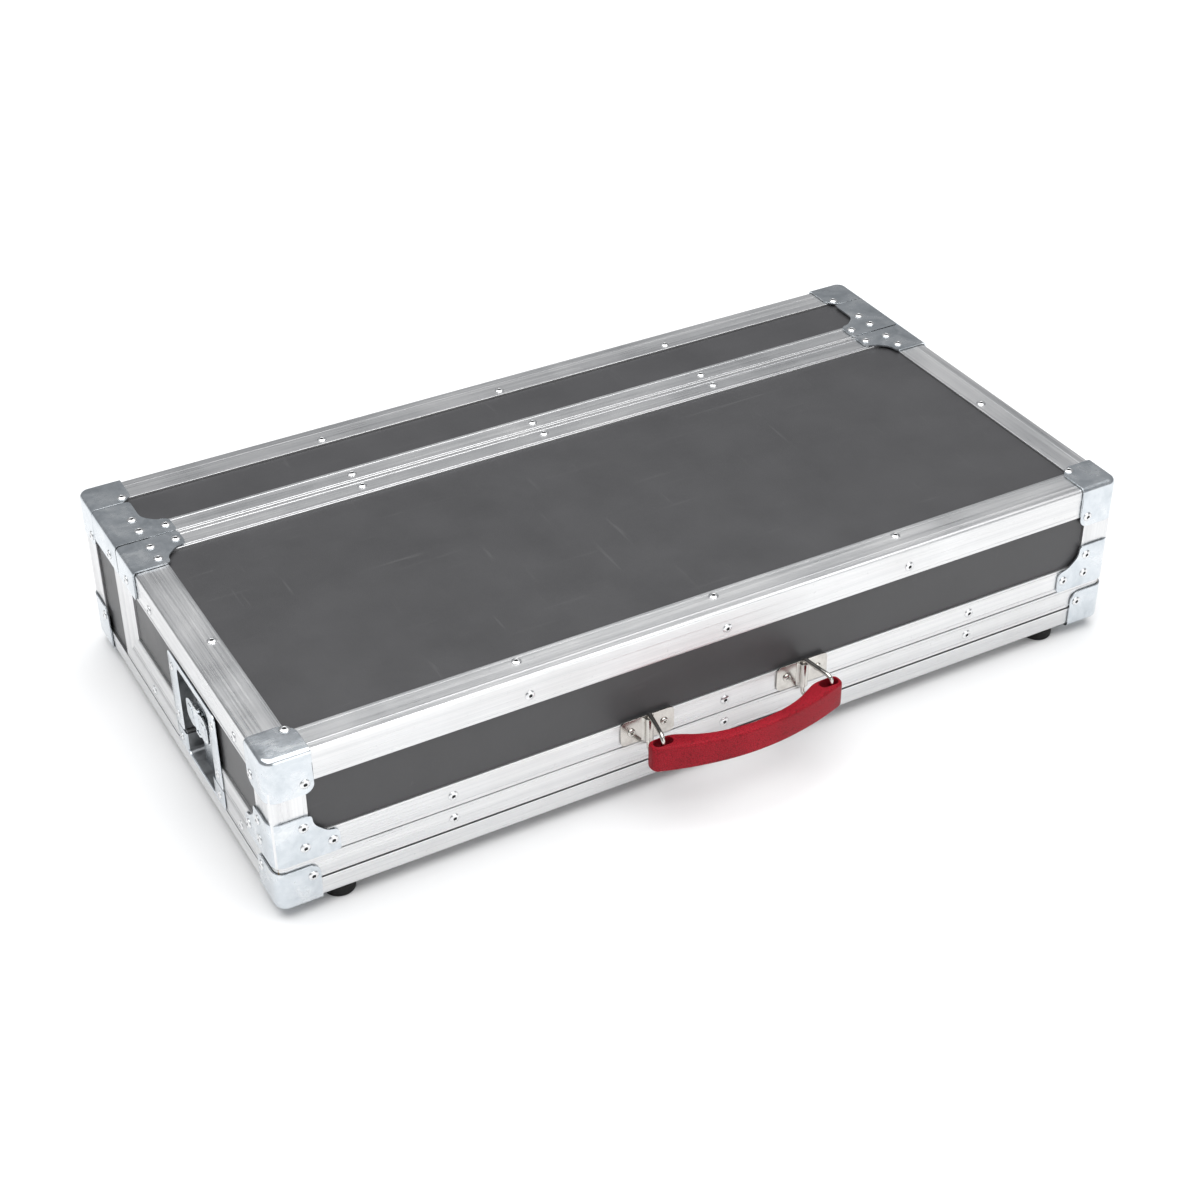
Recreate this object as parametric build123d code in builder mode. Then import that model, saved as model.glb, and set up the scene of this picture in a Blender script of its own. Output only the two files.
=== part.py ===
from build123d import *
import math
import os

os.makedirs("parts", exist_ok=True)

# ---------------------------------------------------------------- driving dimensions, mm
CASE_W, CASE_D, CASE_H = 800.0, 430.0, 144.0    # over the aluminium edges, without the feet
FOOT_H, FOOT_R = 12.0, 14.0
WALL = 2.0                  # aluminium angle and closing sections
PLY = 7.0                   # laminated plywood panels
FLANGE_TOP = 30.0           # angle leg on the top and underside
FLANGE_SIDE = 28.0          # angle leg on the upright faces
BASE_H = 41.0               # height of the tray's rim over the underside
BOX_D = 102.0               # depth of the full-height box along the back
CLOSE_W = 23.5              # face of a closing section
GAP = 0.4                   # half of the gap at the parting
LIP_H = 8.0                 # upstand that locates the lid
RIB = 0.5                   # raised rib of an extrusion; pressed steel bears on it
SHEET = 1.5                 # pressed steel corners and brackets
PROUD = RIB + SHEET         # outer face of the pressed steel, off the aluminium
DOME_H = 1.5                # rivet head
REACH = 57.0                # handle in front of the case
CORNER_R = 4.5

CASE_Y = (REACH - PROUD - DOME_H) / 2  # puts the whole part's box on the origin
XE = CASE_W / 2
YF, YB = CASE_Y - CASE_D / 2, CASE_Y + CASE_D / 2
Z0, ZT = FOOT_H, FOOT_H + CASE_H
ZP = Z0 + BASE_H
YP = YB - BOX_D
IN = WALL + PLY                        # inner face of a panel, from the outside
MITRE = FLANGE_TOP + 0.5               # where a run stops short of a corner
DECK_X = 376.0

LATCH_Y = CASE_Y - 54.0
LATCH_Z = ZP + 34.0                    # axis of the butterfly
TRAY_Y, TRAY_TOP = 36.0, ZP + 66.0     # pocket of the latch dish
DISH_Y, DISH_TOP = 53.0, ZP + 73.5
CAM_E, CAM_R, POST_R = 2.0, 7.0, 3.0

GRIP_Z, GRIP_H = Z0 + 50.5, 27.0
PIVOT_X, PIVOT_Y = 75.0, YF - 4.0
RING_L, RING_LEAN, WIRE = 33.0, 10.0, 2.0
RING_LOW, RING_HIGH = Z0 + 34.5, Z0 + 70.0

X, Y, Z = Vector(1, 0, 0), Vector(0, 1, 0), Vector(0, 0, 1)


def save(builder, name):
    """Labels a finished piece and writes its file."""
    builder.part.label = name
    export_step(builder.part, f"parts/{name}.step")


def block(x0, x1, y0, y1, z0, z1, mode=Mode.ADD):
    """Box between three pairs of coordinates."""
    with BuildSketch(Plane.XY.offset(z0)) as face:
        with Locations(((x0 + x1) / 2, (y0 + y1) / 2)):
            Rectangle(abs(x1 - x0), abs(y1 - y0))
    extrude(face.sketch, amount=z1 - z0, mode=mode)


def plate(plane, points, thick, radius=0.0, mode=Mode.ADD):
    """Flat plate on a plane from its outline, with rounded corners."""
    with BuildSketch(plane) as face:
        with BuildLine():
            Polyline(*points, close=True)
        make_face()
        if radius:
            fillet(face.vertices(), radius)
    extrude(face.sketch, amount=thick, mode=mode)


def angle(corner, leg_a, leg_b, a, b, length):
    """Edge angle with a rounded heel, a rib near the heel and a lip on each leg."""
    plane = Plane(origin=corner, x_dir=leg_a, z_dir=leg_a.cross(leg_b))
    with BuildSketch(plane) as face:
        with BuildLine():
            Polyline((0, 0), (a, 0), (a, WALL), (WALL, WALL), (WALL, b), (0, b), close=True)
        make_face()
        fillet(face.vertices().sort_by_distance((0, 0))[0], 1.9)
        for u, v, w, h in ((9.5, -0.25, 1.6, 0.5), (a - 1.4, -0.25, 2.2, 0.5)):
            with Locations((u, v)):
                Rectangle(w, h)
        for u, v, w, h in ((-0.25, 9.5, 0.5, 1.6), (-0.25, b - 1.4, 0.5, 2.2)):
            with Locations((u, v)):
                Rectangle(w, h)
    extrude(face.sketch, amount=length / 2, both=True)


def panel_band(lo, hi, y_start, z_end):
    """Outline of a band beside the L-shaped parting of an end panel."""
    return [(y_start, ZP - lo), (YP + lo, ZP - lo), (YP + lo, z_end),
            (YP + hi, z_end), (YP + hi, ZP - hi), (y_start, ZP - hi)]


def side_band(side, x_out, x_in, lo, hi, y_start, z_end):
    """Band of an end section between two distances from the middle."""
    start = min(side * x_out, side * x_in)
    plate(Plane.YZ.offset(start), panel_band(lo, hi, y_start, z_end), abs(x_out - x_in))


def folded(corner, axes, legs, cut=8.0):
    """Pressed corner cap: one sheet leg on each of three faces, with a rounded fold."""
    planes = ((0, 1, 2), (1, 2, 0), (2, 0, 1))
    for i, j, k in planes:
        u, v, n = axes[i], axes[j], axes[k]
        base = Plane(origin=corner - n * PROUD, x_dir=u, z_dir=u.cross(v))
        up = SHEET if u.cross(v).dot(n) > 0 else -SHEET
        lu, lv = legs[k][0], legs[k][1]
        plate(base, [(-PROUD, -PROUD), (lu, -PROUD), (lu, lv - cut), (lu - cut, lv), (-PROUD, lv)], up)


def dome(place, outward, radius=4.3, height=DOME_H):
    """Domed rivet head with the small pit left by its mandrel."""
    plane = Plane(origin=place, z_dir=outward)
    with BuildSketch(plane) as foot:
        Circle(radius)
    with BuildSketch(plane.offset(height)) as crown:
        Circle(radius * 0.55)
    loft(sections=[foot.sketch, crown.sketch])
    with BuildSketch(plane.offset(height - 0.8)) as pit:
        Circle(1.3)
    extrude(pit.sketch, amount=1.0, mode=Mode.SUBTRACT)


# ================================================================ tray and back box
with BuildPart() as base_bottom_panel:
    block(-XE + WALL, XE - WALL, YF + WALL, YB - WALL, Z0 + WALL, Z0 + IN)
save(base_bottom_panel, "base_bottom_panel")

with BuildPart() as base_front_wall:
    block(-XE + IN, XE - IN, YF + WALL, YF + IN, Z0 + IN, ZP - GAP - WALL)
save(base_front_wall, "base_front_wall")

for side, name in ((-1, "base_left_end_panel"), (1, "base_right_end_panel")):
    with BuildPart() as base_end_panel:
        plate(Plane.YZ.offset(-XE + WALL if side < 0 else XE - IN),
              [(YF + WALL, Z0 + IN), (YB - WALL, Z0 + IN), (YB - WALL, ZT - IN),
               (YP + GAP + WALL, ZT - IN), (YP + GAP + WALL, ZP - GAP - WALL),
               (YF + WALL, ZP - GAP - WALL)], PLY)
        block(side * (XE + 1), side * (XE - 20), LATCH_Y - 32, LATCH_Y + 32,
              ZP - 20.4, ZP + 1, Mode.SUBTRACT)
    save(base_end_panel, name)

with BuildPart() as rear_back_panel:
    block(-XE + IN, XE - IN, YB - IN, YB - WALL, Z0 + IN, ZT - IN)
save(rear_back_panel, "rear_back_panel")

with BuildPart() as rear_top_panel:
    block(-XE + WALL, XE - WALL, YP + GAP + WALL, YB - WALL, ZT - IN, ZT - WALL)
save(rear_top_panel, "rear_top_panel")

RUN_X = 2 * (XE - MITRE)
with BuildPart() as bottom_front_angle:
    angle(Vector(0, YF, Z0), Y, Z, FLANGE_TOP, 18.0, RUN_X)
save(bottom_front_angle, "bottom_front_angle")

with BuildPart() as bottom_back_angle:
    angle(Vector(0, YB, Z0), -Y, Z, FLANGE_TOP, FLANGE_SIDE, RUN_X)
save(bottom_back_angle, "bottom_back_angle")

with BuildPart() as bottom_end_angles:
    for side in (-1, 1):
        angle(Vector(side * XE, CASE_Y, Z0), -side * X, Z, FLANGE_TOP, 18.0, CASE_D - 6)
save(bottom_end_angles, "bottom_end_angles")

with BuildPart() as rear_top_angle:
    angle(Vector(0, YB, ZT), -Y, -Z, FLANGE_TOP, FLANGE_SIDE, RUN_X)
save(rear_top_angle, "rear_top_angle")

with BuildPart() as rear_end_angles:
    for side in (-1, 1):
        angle(Vector(side * XE, (YP + GAP + YB - 3) / 2, ZT), -side * X, -Z,
              FLANGE_TOP, FLANGE_SIDE, YB - 3 - YP - GAP)
save(rear_end_angles, "rear_end_angles")

LOW_REAR, HIGH = Z0 + FLANGE_SIDE + 0.5, ZT - FLANGE_SIDE - 0.5
with BuildPart() as rear_uprights:
    for side in (-1, 1):
        angle(Vector(side * XE, YB, (LOW_REAR + HIGH) / 2), -side * X, -Y,
              FLANGE_TOP, FLANGE_TOP, HIGH - LOW_REAR)
save(rear_uprights, "rear_uprights")

with BuildPart() as base_front_closing:
    block(-XE + MITRE - 26, XE - MITRE + 26, YF, YF + WALL, ZP - 21.6, ZP - GAP)
    block(-XE + 13, XE - 13, YF + WALL, YF + 12.7, ZP - GAP - WALL, ZP - GAP)
    block(-XE + 13, XE - 13, YF + IN, YF + IN + WALL, ZP - 14, ZP - GAP - WALL)
    block(-XE + 13, XE - 13, YF + 11.3, YF + 12.7, ZP - GAP, ZP + LIP_H)
    block(-XE + MITRE, XE - MITRE, YF - 0.5, YF, ZP - 4.2, ZP - 2.4)
    block(-XE + MITRE, XE - MITRE, YF - 0.5, YF, ZP - 20.6, ZP - 19.0)
save(base_front_closing, "base_front_closing")

for side, name in ((-1, "base_left_closing"), (1, "base_right_closing")):
    with BuildPart() as base_end_closing:
        side_band(side, XE, XE - WALL, GAP, CLOSE_W, YF + WALL + 0.2, HIGH)
        side_band(side, XE - WALL, XE - 12.7, GAP, GAP + WALL, YF + 13.2, ZT - 13.2)
        side_band(side, XE - IN, XE - IN - WALL, GAP + WALL, 14, YF + 13.2, ZT - 13.2)
        side_band(side, XE - 11.3, XE - 12.7, -LIP_H, GAP, YF + 13.2, ZT - 13.2)
        block(side * (XE - WALL), side * (XE + 1), YF, YP + CLOSE_W + 1, Z0, ZP - 21.6, Mode.SUBTRACT)
        block(side * (XE + 1), side * (XE - 20), LATCH_Y - 32, LATCH_Y + 32,
              ZP - 20.4, ZP + 1, Mode.SUBTRACT)
        block(side * (XE - 10), side * (XE - 20), LATCH_Y - TRAY_Y - 4, LATCH_Y + TRAY_Y + 4,
              ZP - GAP, ZP + 20, Mode.SUBTRACT)
    save(base_end_closing, name)

with BuildPart() as rear_top_closing:
    block(-XE + MITRE, XE - MITRE, YP + GAP, YP + CLOSE_W, ZT - WALL, ZT)
    block(-XE + 13.2, XE - 13.2, YP + GAP, YP + GAP + WALL, ZT - 12.7, ZT - WALL)
    block(-XE + 13.2, XE - 13.2, YP + GAP + WALL, YP + 14, ZT - IN - WALL, ZT - IN)
    block(-XE + 13.2, XE - 13.2, YP - LIP_H, YP + GAP, ZT - 12.7, ZT - 11.3)
    block(-XE + MITRE, XE - MITRE, YP + 2.4, YP + 4.2, ZT, ZT + 0.5)
    block(-XE + MITRE, XE - MITRE, YP + 20.6, YP + 22.4, ZT, ZT + 0.5)
save(rear_top_closing, "rear_top_closing")

CAP, CAP_LOW = 38.0, 35.0
with BuildPart() as base_corner_caps:
    for side in (-1, 1):
        inward = -side * X
        folded(Vector(side * XE, YF, Z0), (inward, Y, Z), ((CAP, CAP_LOW), (CAP_LOW, 35), (36, CAP)))
        folded(Vector(side * XE, YB, Z0), (inward, -Y, Z), ((CAP, 42), (42, CAP), (CAP, CAP)))
        folded(Vector(side * XE, YB, ZT), (inward, -Y, -Z), ((36, CAP), (CAP, 36), (CAP, 36)))
save(base_corner_caps, "base_corner_caps")

LONG, TIP = 43.0, 58.0      # legs of the three-rivet brackets
LONG_REAR = 62.4            # the back box's brackets run on to its corner caps


def elbow(plane, flip, thick, long=LONG):
    """Three-rivet bracket leg: along the edge by long, along the parting by TIP."""
    s = -1 if flip else 1
    pts = [(0, 0), (TIP, 0), (TIP, s * 22.5), (47.0, s * 22.5), (33.5, s * 34.0), (33.5, s * long),
           (0, s * long)]
    plate(plane, pts, thick)


def top_brackets(direction):
    """Pair of folded brackets on the top beside the parting, one at each end."""
    y0 = YP + direction * (GAP + 0.4)
    long = LONG_REAR if direction > 0 else LONG
    for side in (-1, 1):
        plane = Plane(origin=(side * XE, y0, ZT + RIB), x_dir=(-side, 0, 0), z_dir=(0, 0, 1))
        elbow(plane, (direction > 0) != (-side > 0), SHEET, long)
        block(side * (XE + RIB), side * (XE + PROUD), y0, y0 + direction * long, ZT - 27, ZT + PROUD)
        block(side * (XE - 1), side * (XE + PROUD), y0, y0 + direction * long, ZT + RIB, ZT + PROUD)


with BuildPart() as rear_brackets:
    top_brackets(1)
save(rear_brackets, "rear_brackets")

# ---- inside the tray
BATTEN_H, DECK_T, CARPET_T = 14.0, 9.0, 3.0
DECK_Z = Z0 + IN + BATTEN_H
DECK_Y0, DECK_Y1 = YF + 16.0, YP - 6.0
BATTENS = (-300.0, 0.0, 300.0)
SCREW_Y = (DECK_Y0 + 40, (DECK_Y0 + DECK_Y1) / 2, DECK_Y1 - 40)
SCREWS = [(bx, sy) for bx in BATTENS for sy in SCREW_Y]

with BuildPart() as deck_battens:
    for bx in BATTENS:
        block(bx - 20, bx + 20, DECK_Y0 + 8, DECK_Y1 - 8, Z0 + IN, DECK_Z)
    with BuildSketch(Plane.XY.offset(DECK_Z)) as pilots:
        with Locations(*SCREWS):
            Circle(1.8)
    extrude(pilots.sketch, amount=-12, mode=Mode.SUBTRACT)
save(deck_battens, "deck_battens")

with BuildPart() as pedal_deck:
    block(-DECK_X, DECK_X, DECK_Y0, DECK_Y1, DECK_Z, DECK_Z + DECK_T)
    with Locations(*[Location((sx, sy, DECK_Z + DECK_T)) for sx, sy in SCREWS]):
        CounterSinkHole(radius=2.1, counter_sink_radius=4.2, depth=DECK_T)
save(pedal_deck, "pedal_deck")

with BuildPart() as deck_screws:
    for sx, sy in SCREWS:
        with BuildSketch(Plane.XY.offset(DECK_Z - 11)) as shank:
            with Locations((sx, sy)):
                Circle(1.8)
        extrude(shank.sketch, amount=11 + DECK_T - 2.6)
        with BuildSketch(Plane.XY.offset(DECK_Z + DECK_T - 2.6)) as neck:
            with Locations((sx, sy)):
                Circle(1.8)
        with BuildSketch(Plane.XY.offset(DECK_Z + DECK_T - 0.3)) as crown:
            with Locations((sx, sy)):
                Circle(3.8)
        loft(sections=[neck.sketch, crown.sketch])
save(deck_screws, "deck_screws")

with BuildPart() as deck_carpet:
    block(-DECK_X + 1, DECK_X - 1, DECK_Y0 + 1, DECK_Y1 - 1,
          DECK_Z + DECK_T, DECK_Z + DECK_T + CARPET_T)
save(deck_carpet, "deck_carpet")

FEET = [(fx, fy) for fx in (-345.0, 345.0) for fy in (YF + 16, YB - 16)]
with BuildPart() as rubber_feet:
    for fx, fy in FEET:
        with BuildSketch(Plane.XY) as sole:
            with Locations((fx, fy)):
                Circle(FOOT_R - 1)
        with BuildSketch(Plane.XY.offset(FOOT_H - 0.5)) as top:
            with Locations((fx, fy)):
                Circle(FOOT_R)
        loft(sections=[sole.sketch, top.sketch])
        with Locations(Location((fx, fy, 0), (180, 0, 0))):
            CounterBoreHole(radius=2.2, counter_bore_radius=5.0, counter_bore_depth=5.0, depth=FOOT_H)
save(rubber_feet, "rubber_feet")

with BuildPart() as foot_screws:
    for fx, fy in FEET:
        with BuildSketch(Plane.XY.offset(2.2)) as head:
            with Locations((fx, fy)):
                Circle(4.2)
        extrude(head.sketch, amount=2.8)
        with BuildSketch(Plane.XY.offset(5.0)) as shank:
            with Locations((fx, fy)):
                Circle(2.0)
        extrude(shank.sketch, amount=FOOT_H - 5.0 - 0.5)
        with BuildSketch(Plane.XY.offset(2.2)) as slot:
            with Locations((fx, fy)):
                Rectangle(5.6, 1.0)
                Rectangle(1.0, 5.6)
        extrude(slot.sketch, amount=1.2, mode=Mode.SUBTRACT)
save(foot_screws, "foot_screws")

for side, name in ((-1, "left_latch_keeper"), (1, "right_latch_keeper")):
    with BuildPart() as keeper:
        block(side * (XE + 1.4), side * XE, LATCH_Y - DISH_Y, LATCH_Y + DISH_Y, ZP - 21.4, ZP - 0.6)
        block(side * XE, side * (XE - 18), LATCH_Y - 31.4, LATCH_Y + 31.4, ZP - 20, ZP - 0.6)
        block(side * (XE + 2), side * (XE - 16.6), LATCH_Y - 30, LATCH_Y + 30,
              ZP - 18.6, ZP + 1, Mode.SUBTRACT)
        block(side * (XE - 16.6), side * (XE - 13.4), LATCH_Y - 16, LATCH_Y + 16, ZP - 12, ZP - 10)
    save(keeper, name)

# ================================================================ lid
with BuildPart() as lid_top_panel:
    block(-XE + WALL, XE - WALL, YF + WALL, YP - GAP - WALL, ZT - IN, ZT - WALL)
save(lid_top_panel, "lid_top_panel")

with BuildPart() as lid_front_panel:
    block(-XE + IN, XE - IN, YF + WALL, YF + IN, ZP + GAP + WALL, ZT - IN)
save(lid_front_panel, "lid_front_panel")

for side, name in ((-1, "lid_left_end_panel"), (1, "lid_right_end_panel")):
    with BuildPart() as lid_end_panel:
        block(side * (XE - WALL), side * (XE - IN), YF + WALL, YP - GAP - WALL,
              ZP + GAP + WALL, ZT - IN)
        block(side * (XE + 1), side * (XE - 20), LATCH_Y - TRAY_Y - 1.6, LATCH_Y + TRAY_Y + 1.6,
              ZP, TRAY_TOP + 1.6, Mode.SUBTRACT)
    save(lid_end_panel, name)

with BuildPart() as lid_front_angle:
    angle(Vector(0, YF, ZT), Y, -Z, FLANGE_TOP, FLANGE_SIDE, RUN_X)
save(lid_front_angle, "lid_front_angle")

with BuildPart() as lid_end_angles:
    for side in (-1, 1):
        angle(Vector(side * XE, (YF + 3 + YP - GAP) / 2, ZT), -side * X, -Z,
              FLANGE_TOP, FLANGE_SIDE, YP - GAP - YF - 3)
save(lid_end_angles, "lid_end_angles")

LOW = ZP + GAP + 0.4
with BuildPart() as lid_uprights:
    for side in (-1, 1):
        angle(Vector(side * XE, YF, (LOW + HIGH) / 2), -side * X, Y,
              FLANGE_TOP, FLANGE_TOP, HIGH - LOW)
save(lid_uprights, "lid_uprights")

with BuildPart() as lid_front_closing:
    block(-XE + MITRE, XE - MITRE, YF, YF + WALL, ZP + GAP, ZP + CLOSE_W)
    block(-XE + 13, XE - 13, YF + WALL, YF + 11.0, ZP + GAP, ZP + GAP + WALL)
    block(-XE + 13, XE - 13, YF + IN, YF + 11.0, ZP + GAP + WALL, ZP + 14)
    block(-XE + MITRE, XE - MITRE, YF - 0.5, YF, ZP + 2.4, ZP + 4.2)
    block(-XE + MITRE, XE - MITRE, YF - 0.5, YF, ZP + 20.6, ZP + 22.4)
save(lid_front_closing, "lid_front_closing")

for side, name in ((-1, "lid_left_closing"), (1, "lid_right_closing")):
    with BuildPart() as lid_end_closing:
        side_band(side, XE, XE - WALL, -GAP, -CLOSE_W, YF + MITRE, HIGH)
        side_band(side, XE - WALL, XE - 11.0, -GAP, -GAP - WALL, YF + 13.2, ZT - IN - WALL - 0.3)
        side_band(side, XE - IN, XE - 11.0, -GAP - WALL, -14, YF + 13.2, ZT - IN - WALL - 0.3)
        block(side * (XE + 1), side * (XE - 20), LATCH_Y - TRAY_Y - 1.6, LATCH_Y + TRAY_Y + 1.6,
              ZP, TRAY_TOP + 1.6, Mode.SUBTRACT)
    save(lid_end_closing, name)

with BuildPart() as lid_top_closing:
    block(-XE + MITRE, XE - MITRE, YP - CLOSE_W, YP - GAP, ZT - WALL, ZT)
    block(-XE + 13.2, XE - 13.2, YP - GAP - WALL, YP - GAP, ZT - 11.0, ZT - WALL)
    block(-XE + 13.2, XE - 13.2, YP - 14, YP - GAP - WALL, ZT - 11.0, ZT - IN)
    block(-XE + MITRE, XE - MITRE, YP - 4.2, YP - 2.4, ZT, ZT + 0.5)
    block(-XE + MITRE, XE - MITRE, YP - 22.4, YP - 20.6, ZT, ZT + 0.5)
save(lid_top_closing, "lid_top_closing")

with BuildPart() as lid_corner_caps:
    for side in (-1, 1):
        folded(Vector(side * XE, YF, ZT), (-side * X, Y, -Z), ((36, CAP), (CAP, 36), (CAP, 36)))
save(lid_corner_caps, "lid_corner_caps")

with BuildPart() as lid_top_brackets:
    top_brackets(-1)
save(lid_top_brackets, "lid_top_brackets")

with BuildPart() as lid_corner_brackets:
    for side in (-1, 1):
        z0 = ZP + GAP + 0.4
        front = Plane(origin=(side * (XE + PROUD), YF - RIB, z0), x_dir=(-side, 0, 0), z_dir=(0, -1, 0))
        elbow(front, side > 0, SHEET)
        end = Plane(origin=(side * (XE + RIB), YF - PROUD, z0), x_dir=(0, 1, 0), z_dir=(side, 0, 0))
        elbow(end, side < 0, SHEET)
save(lid_corner_brackets, "lid_corner_brackets")

with BuildPart() as lid_foam:
    block(-370, 370, YF + 24, YP - 24, ZT - IN - 12.3, ZT - IN - 0.3)
save(lid_foam, "lid_foam")

# ---- carrying handle
PLATE_T, PLATE_Y = 1.5, YF - RIB
with BuildPart() as handle_plates:
    for side in (-1, 1):
        cx = side * PIVOT_X
        block(cx - 25, cx + 25, PLATE_Y - PLATE_T, PLATE_Y, Z0 + 43, Z0 + 67)
        block(cx - 3.9, cx + 3.9, PIVOT_Y, PLATE_Y - PLATE_T, Z0 + 43, Z0 + 66)
        with BuildSketch(Plane.XY.offset(Z0 + 43)) as barrel:
            with Locations((cx, PIVOT_Y)):
                Circle(3.9)
        extrude(barrel.sketch, amount=23)
        with BuildSketch(Plane.XY.offset(Z0 + 43)) as eye:
            with Locations((cx, PIVOT_Y)):
                Circle(WIRE + 0.05)
        extrude(eye.sketch, amount=23, mode=Mode.SUBTRACT)
        block(cx - 30, cx + 30, PLATE_Y, PLATE_Y + 5, Z0 + 40, Z0 + 70, Mode.SUBTRACT)
save(handle_plates, "handle_plates")

with BuildPart() as handle_screws:
    for side in (-1, 1):
        for dx in (-15.5, 15.5):
            dome(Vector(side * PIVOT_X + dx, PLATE_Y - PLATE_T, Z0 + 55), -Y, 3.6, 1.6)
save(handle_screws, "handle_screws")

LEAN = math.radians(RING_LEAN)
for side, name in ((-1, "left_handle_ring"), (1, "right_handle_ring")):
    out = Vector(side * math.sin(LEAN), -math.cos(LEAN), 0)
    pivot = Vector(side * PIVOT_X, PIVOT_Y, 0)
    far = pivot + out * RING_L
    with BuildPart() as ring:
        with BuildLine() as path:
            loop = Polyline(pivot + Z * RING_LOW, far + Z * RING_LOW, far + Z * RING_HIGH,
                            pivot + Z * RING_HIGH, close=True)
            fillet(loop.vertices(), 3.4)
        with BuildSketch(Plane(origin=pivot + Z * (RING_LOW + RING_HIGH) / 2, z_dir=Z)) as wire:
            Circle(WIRE)
        sweep(sections=wire.sketch, path=path.wires()[0])
    save(ring, name)

with BuildPart() as handle_grip:
    with BuildSketch(Plane.XY.offset(GRIP_Z - GRIP_H / 2)) as bow:
        with BuildLine():
            outer = Spline((0, YF - REACH), (40, YF - 53), (70, YF - 46), (94, YF - 36),
                           tangents=((1, 0), (-0.1, 1)))
            end = Line(outer @ 1, (94, YF - 33))
            Spline(end @ 1, (84, YF - 27.2), (62, YF - 29), (48, YF - 34), (31, YF - 42), (14, YF - 46.6), (0, YF - 47.5),
                   tangents=((-0.1, 1), (-1, 0)))
            mirror(about=Plane.YZ)
        make_face()
    extrude(bow.sketch, amount=GRIP_H)
    with BuildSketch(Plane.XY.offset(GRIP_Z - GRIP_H / 2 - 1)) as slots:
        with Locations((-81, YF - 35.0), (81, YF - 35.0)):
            SlotOverall(21.5, 9.0)
    extrude(slots.sketch, amount=GRIP_H + 2, mode=Mode.SUBTRACT)
save(handle_grip, "handle_grip")

# ---- butterfly latches
for side, word in ((-1, "left"), (1, "right")):
    with BuildPart() as dish:
        outline = [(LATCH_Y - DISH_Y, ZP + 0.6), (LATCH_Y + DISH_Y, ZP + 0.6),
                   (LATCH_Y + DISH_Y, DISH_TOP), (LATCH_Y - DISH_Y, DISH_TOP)]
        plate(Plane.YZ.offset(XE if side > 0 else -XE - 1.4), outline, 1.4)
        block(side * XE, side * (XE - 13.9), LATCH_Y - TRAY_Y - 1.4, LATCH_Y + TRAY_Y + 1.4,
              ZP + 0.6, TRAY_TOP + 1.4)
        block(side * (XE + 2), side * (XE - 12.5), LATCH_Y - TRAY_Y, LATCH_Y + TRAY_Y,
              ZP, TRAY_TOP, Mode.SUBTRACT)
        with BuildSketch(Plane.YZ.offset(side * (XE - 12.5))) as post:
            with Locations((LATCH_Y, LATCH_Z)):
                Circle(POST_R)
        extrude(post.sketch, amount=side * 7.6)
    save(dish, f"{word}_latch_dish")

    with BuildPart() as claw:
        x_plate = side * (XE - 7.0)
        block(x_plate, side * (XE - 9.0), LATCH_Y - 14, LATCH_Y + 14, LATCH_Z - 19, LATCH_Z + 12)
        block(x_plate, side * (XE - 9.0), LATCH_Y - 11, LATCH_Y + 11, ZP - 18, LATCH_Z - 19)
        block(side * (XE - 9.0), side * (XE - 13.0), LATCH_Y - 11, LATCH_Y + 11, ZP - 18, ZP - 16.4)
        block(side * (XE - 5), side * (XE - 11), LATCH_Y - CAM_R - CAM_E - 0.4,
              LATCH_Y + CAM_R + CAM_E + 0.4, LATCH_Z - CAM_E - CAM_R - 0.8,
              LATCH_Z - CAM_E + CAM_R + 0.8, Mode.SUBTRACT)
    save(claw, f"{word}_latch_claw")

    with BuildPart() as rotor:
        with BuildSketch(Plane.YZ.offset(side * (XE - 11.8))) as cam:
            with Locations((LATCH_Y, LATCH_Z - CAM_E)):
                Circle(CAM_R)
        extrude(cam.sketch, amount=side * 5.2)
        with BuildSketch(Plane.YZ.offset(side * (XE - 6.6))) as disc:
            with Locations((LATCH_Y, LATCH_Z)):
                Circle(15)
        extrude(disc.sketch, amount=side * 2.2)
        for dz in (-12.6, 12.6):
            block(side * (XE - 4.6), side * (XE + 0.2), LATCH_Y - 5.6, LATCH_Y + 5.6,
                  LATCH_Z + dz - 1.2, LATCH_Z + dz + 1.2)
        with BuildSketch(Plane.YZ.offset(side * (XE - 12.5))) as bore:
            with Locations((LATCH_Y, LATCH_Z)):
                Circle(POST_R + 0.05)
        extrude(bore.sketch, amount=side * 8.0, mode=Mode.SUBTRACT)
        with BuildSketch(Plane.XY.offset(LATCH_Z - 14)) as pins:
            with Locations((side * (XE - 2), LATCH_Y - 3), (side * (XE - 2), LATCH_Y + 3)):
                Circle(1.0)
        extrude(pins.sketch, amount=28)
    save(rotor, f"{word}_latch_rotor")

    for wing_side, letter in ((-1, "front"), (1, "back")):
        with BuildPart() as wing:
            pin_y = LATCH_Y + wing_side * 3.0
            with BuildSketch(Plane.XY.offset(LATCH_Z - 10.8)) as barrel:
                with Locations((side * (XE - 2), pin_y)):
                    Circle(2.1)
            extrude(barrel.sketch, amount=21.6)
            y0, y1 = pin_y + wing_side * 1.0, pin_y + wing_side * 21
            plate(Plane.YZ.offset(side * (XE - 2) if side > 0 else -(XE - 2) - 1.6),
                  [(y0, LATCH_Z - 10.8), (y0 + wing_side * 3, LATCH_Z - 10.8),
                   (y0 + wing_side * 9, LATCH_Z - 13.5), (y1, LATCH_Z - 8), (y1, LATCH_Z + 8),
                   (y0 + wing_side * 9, LATCH_Z + 13.5), (y0 + wing_side * 3, LATCH_Z + 10.8),
                   (y0, LATCH_Z + 10.8)], 1.6)
            with BuildSketch(Plane.XY.offset(LATCH_Z - 12)) as eye:
                with Locations((side * (XE - 2), pin_y)):
                    Circle(1.05)
            extrude(eye.sketch, amount=24, mode=Mode.SUBTRACT)
        save(wing, f"{word}_latch_{letter}_wing")

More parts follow.
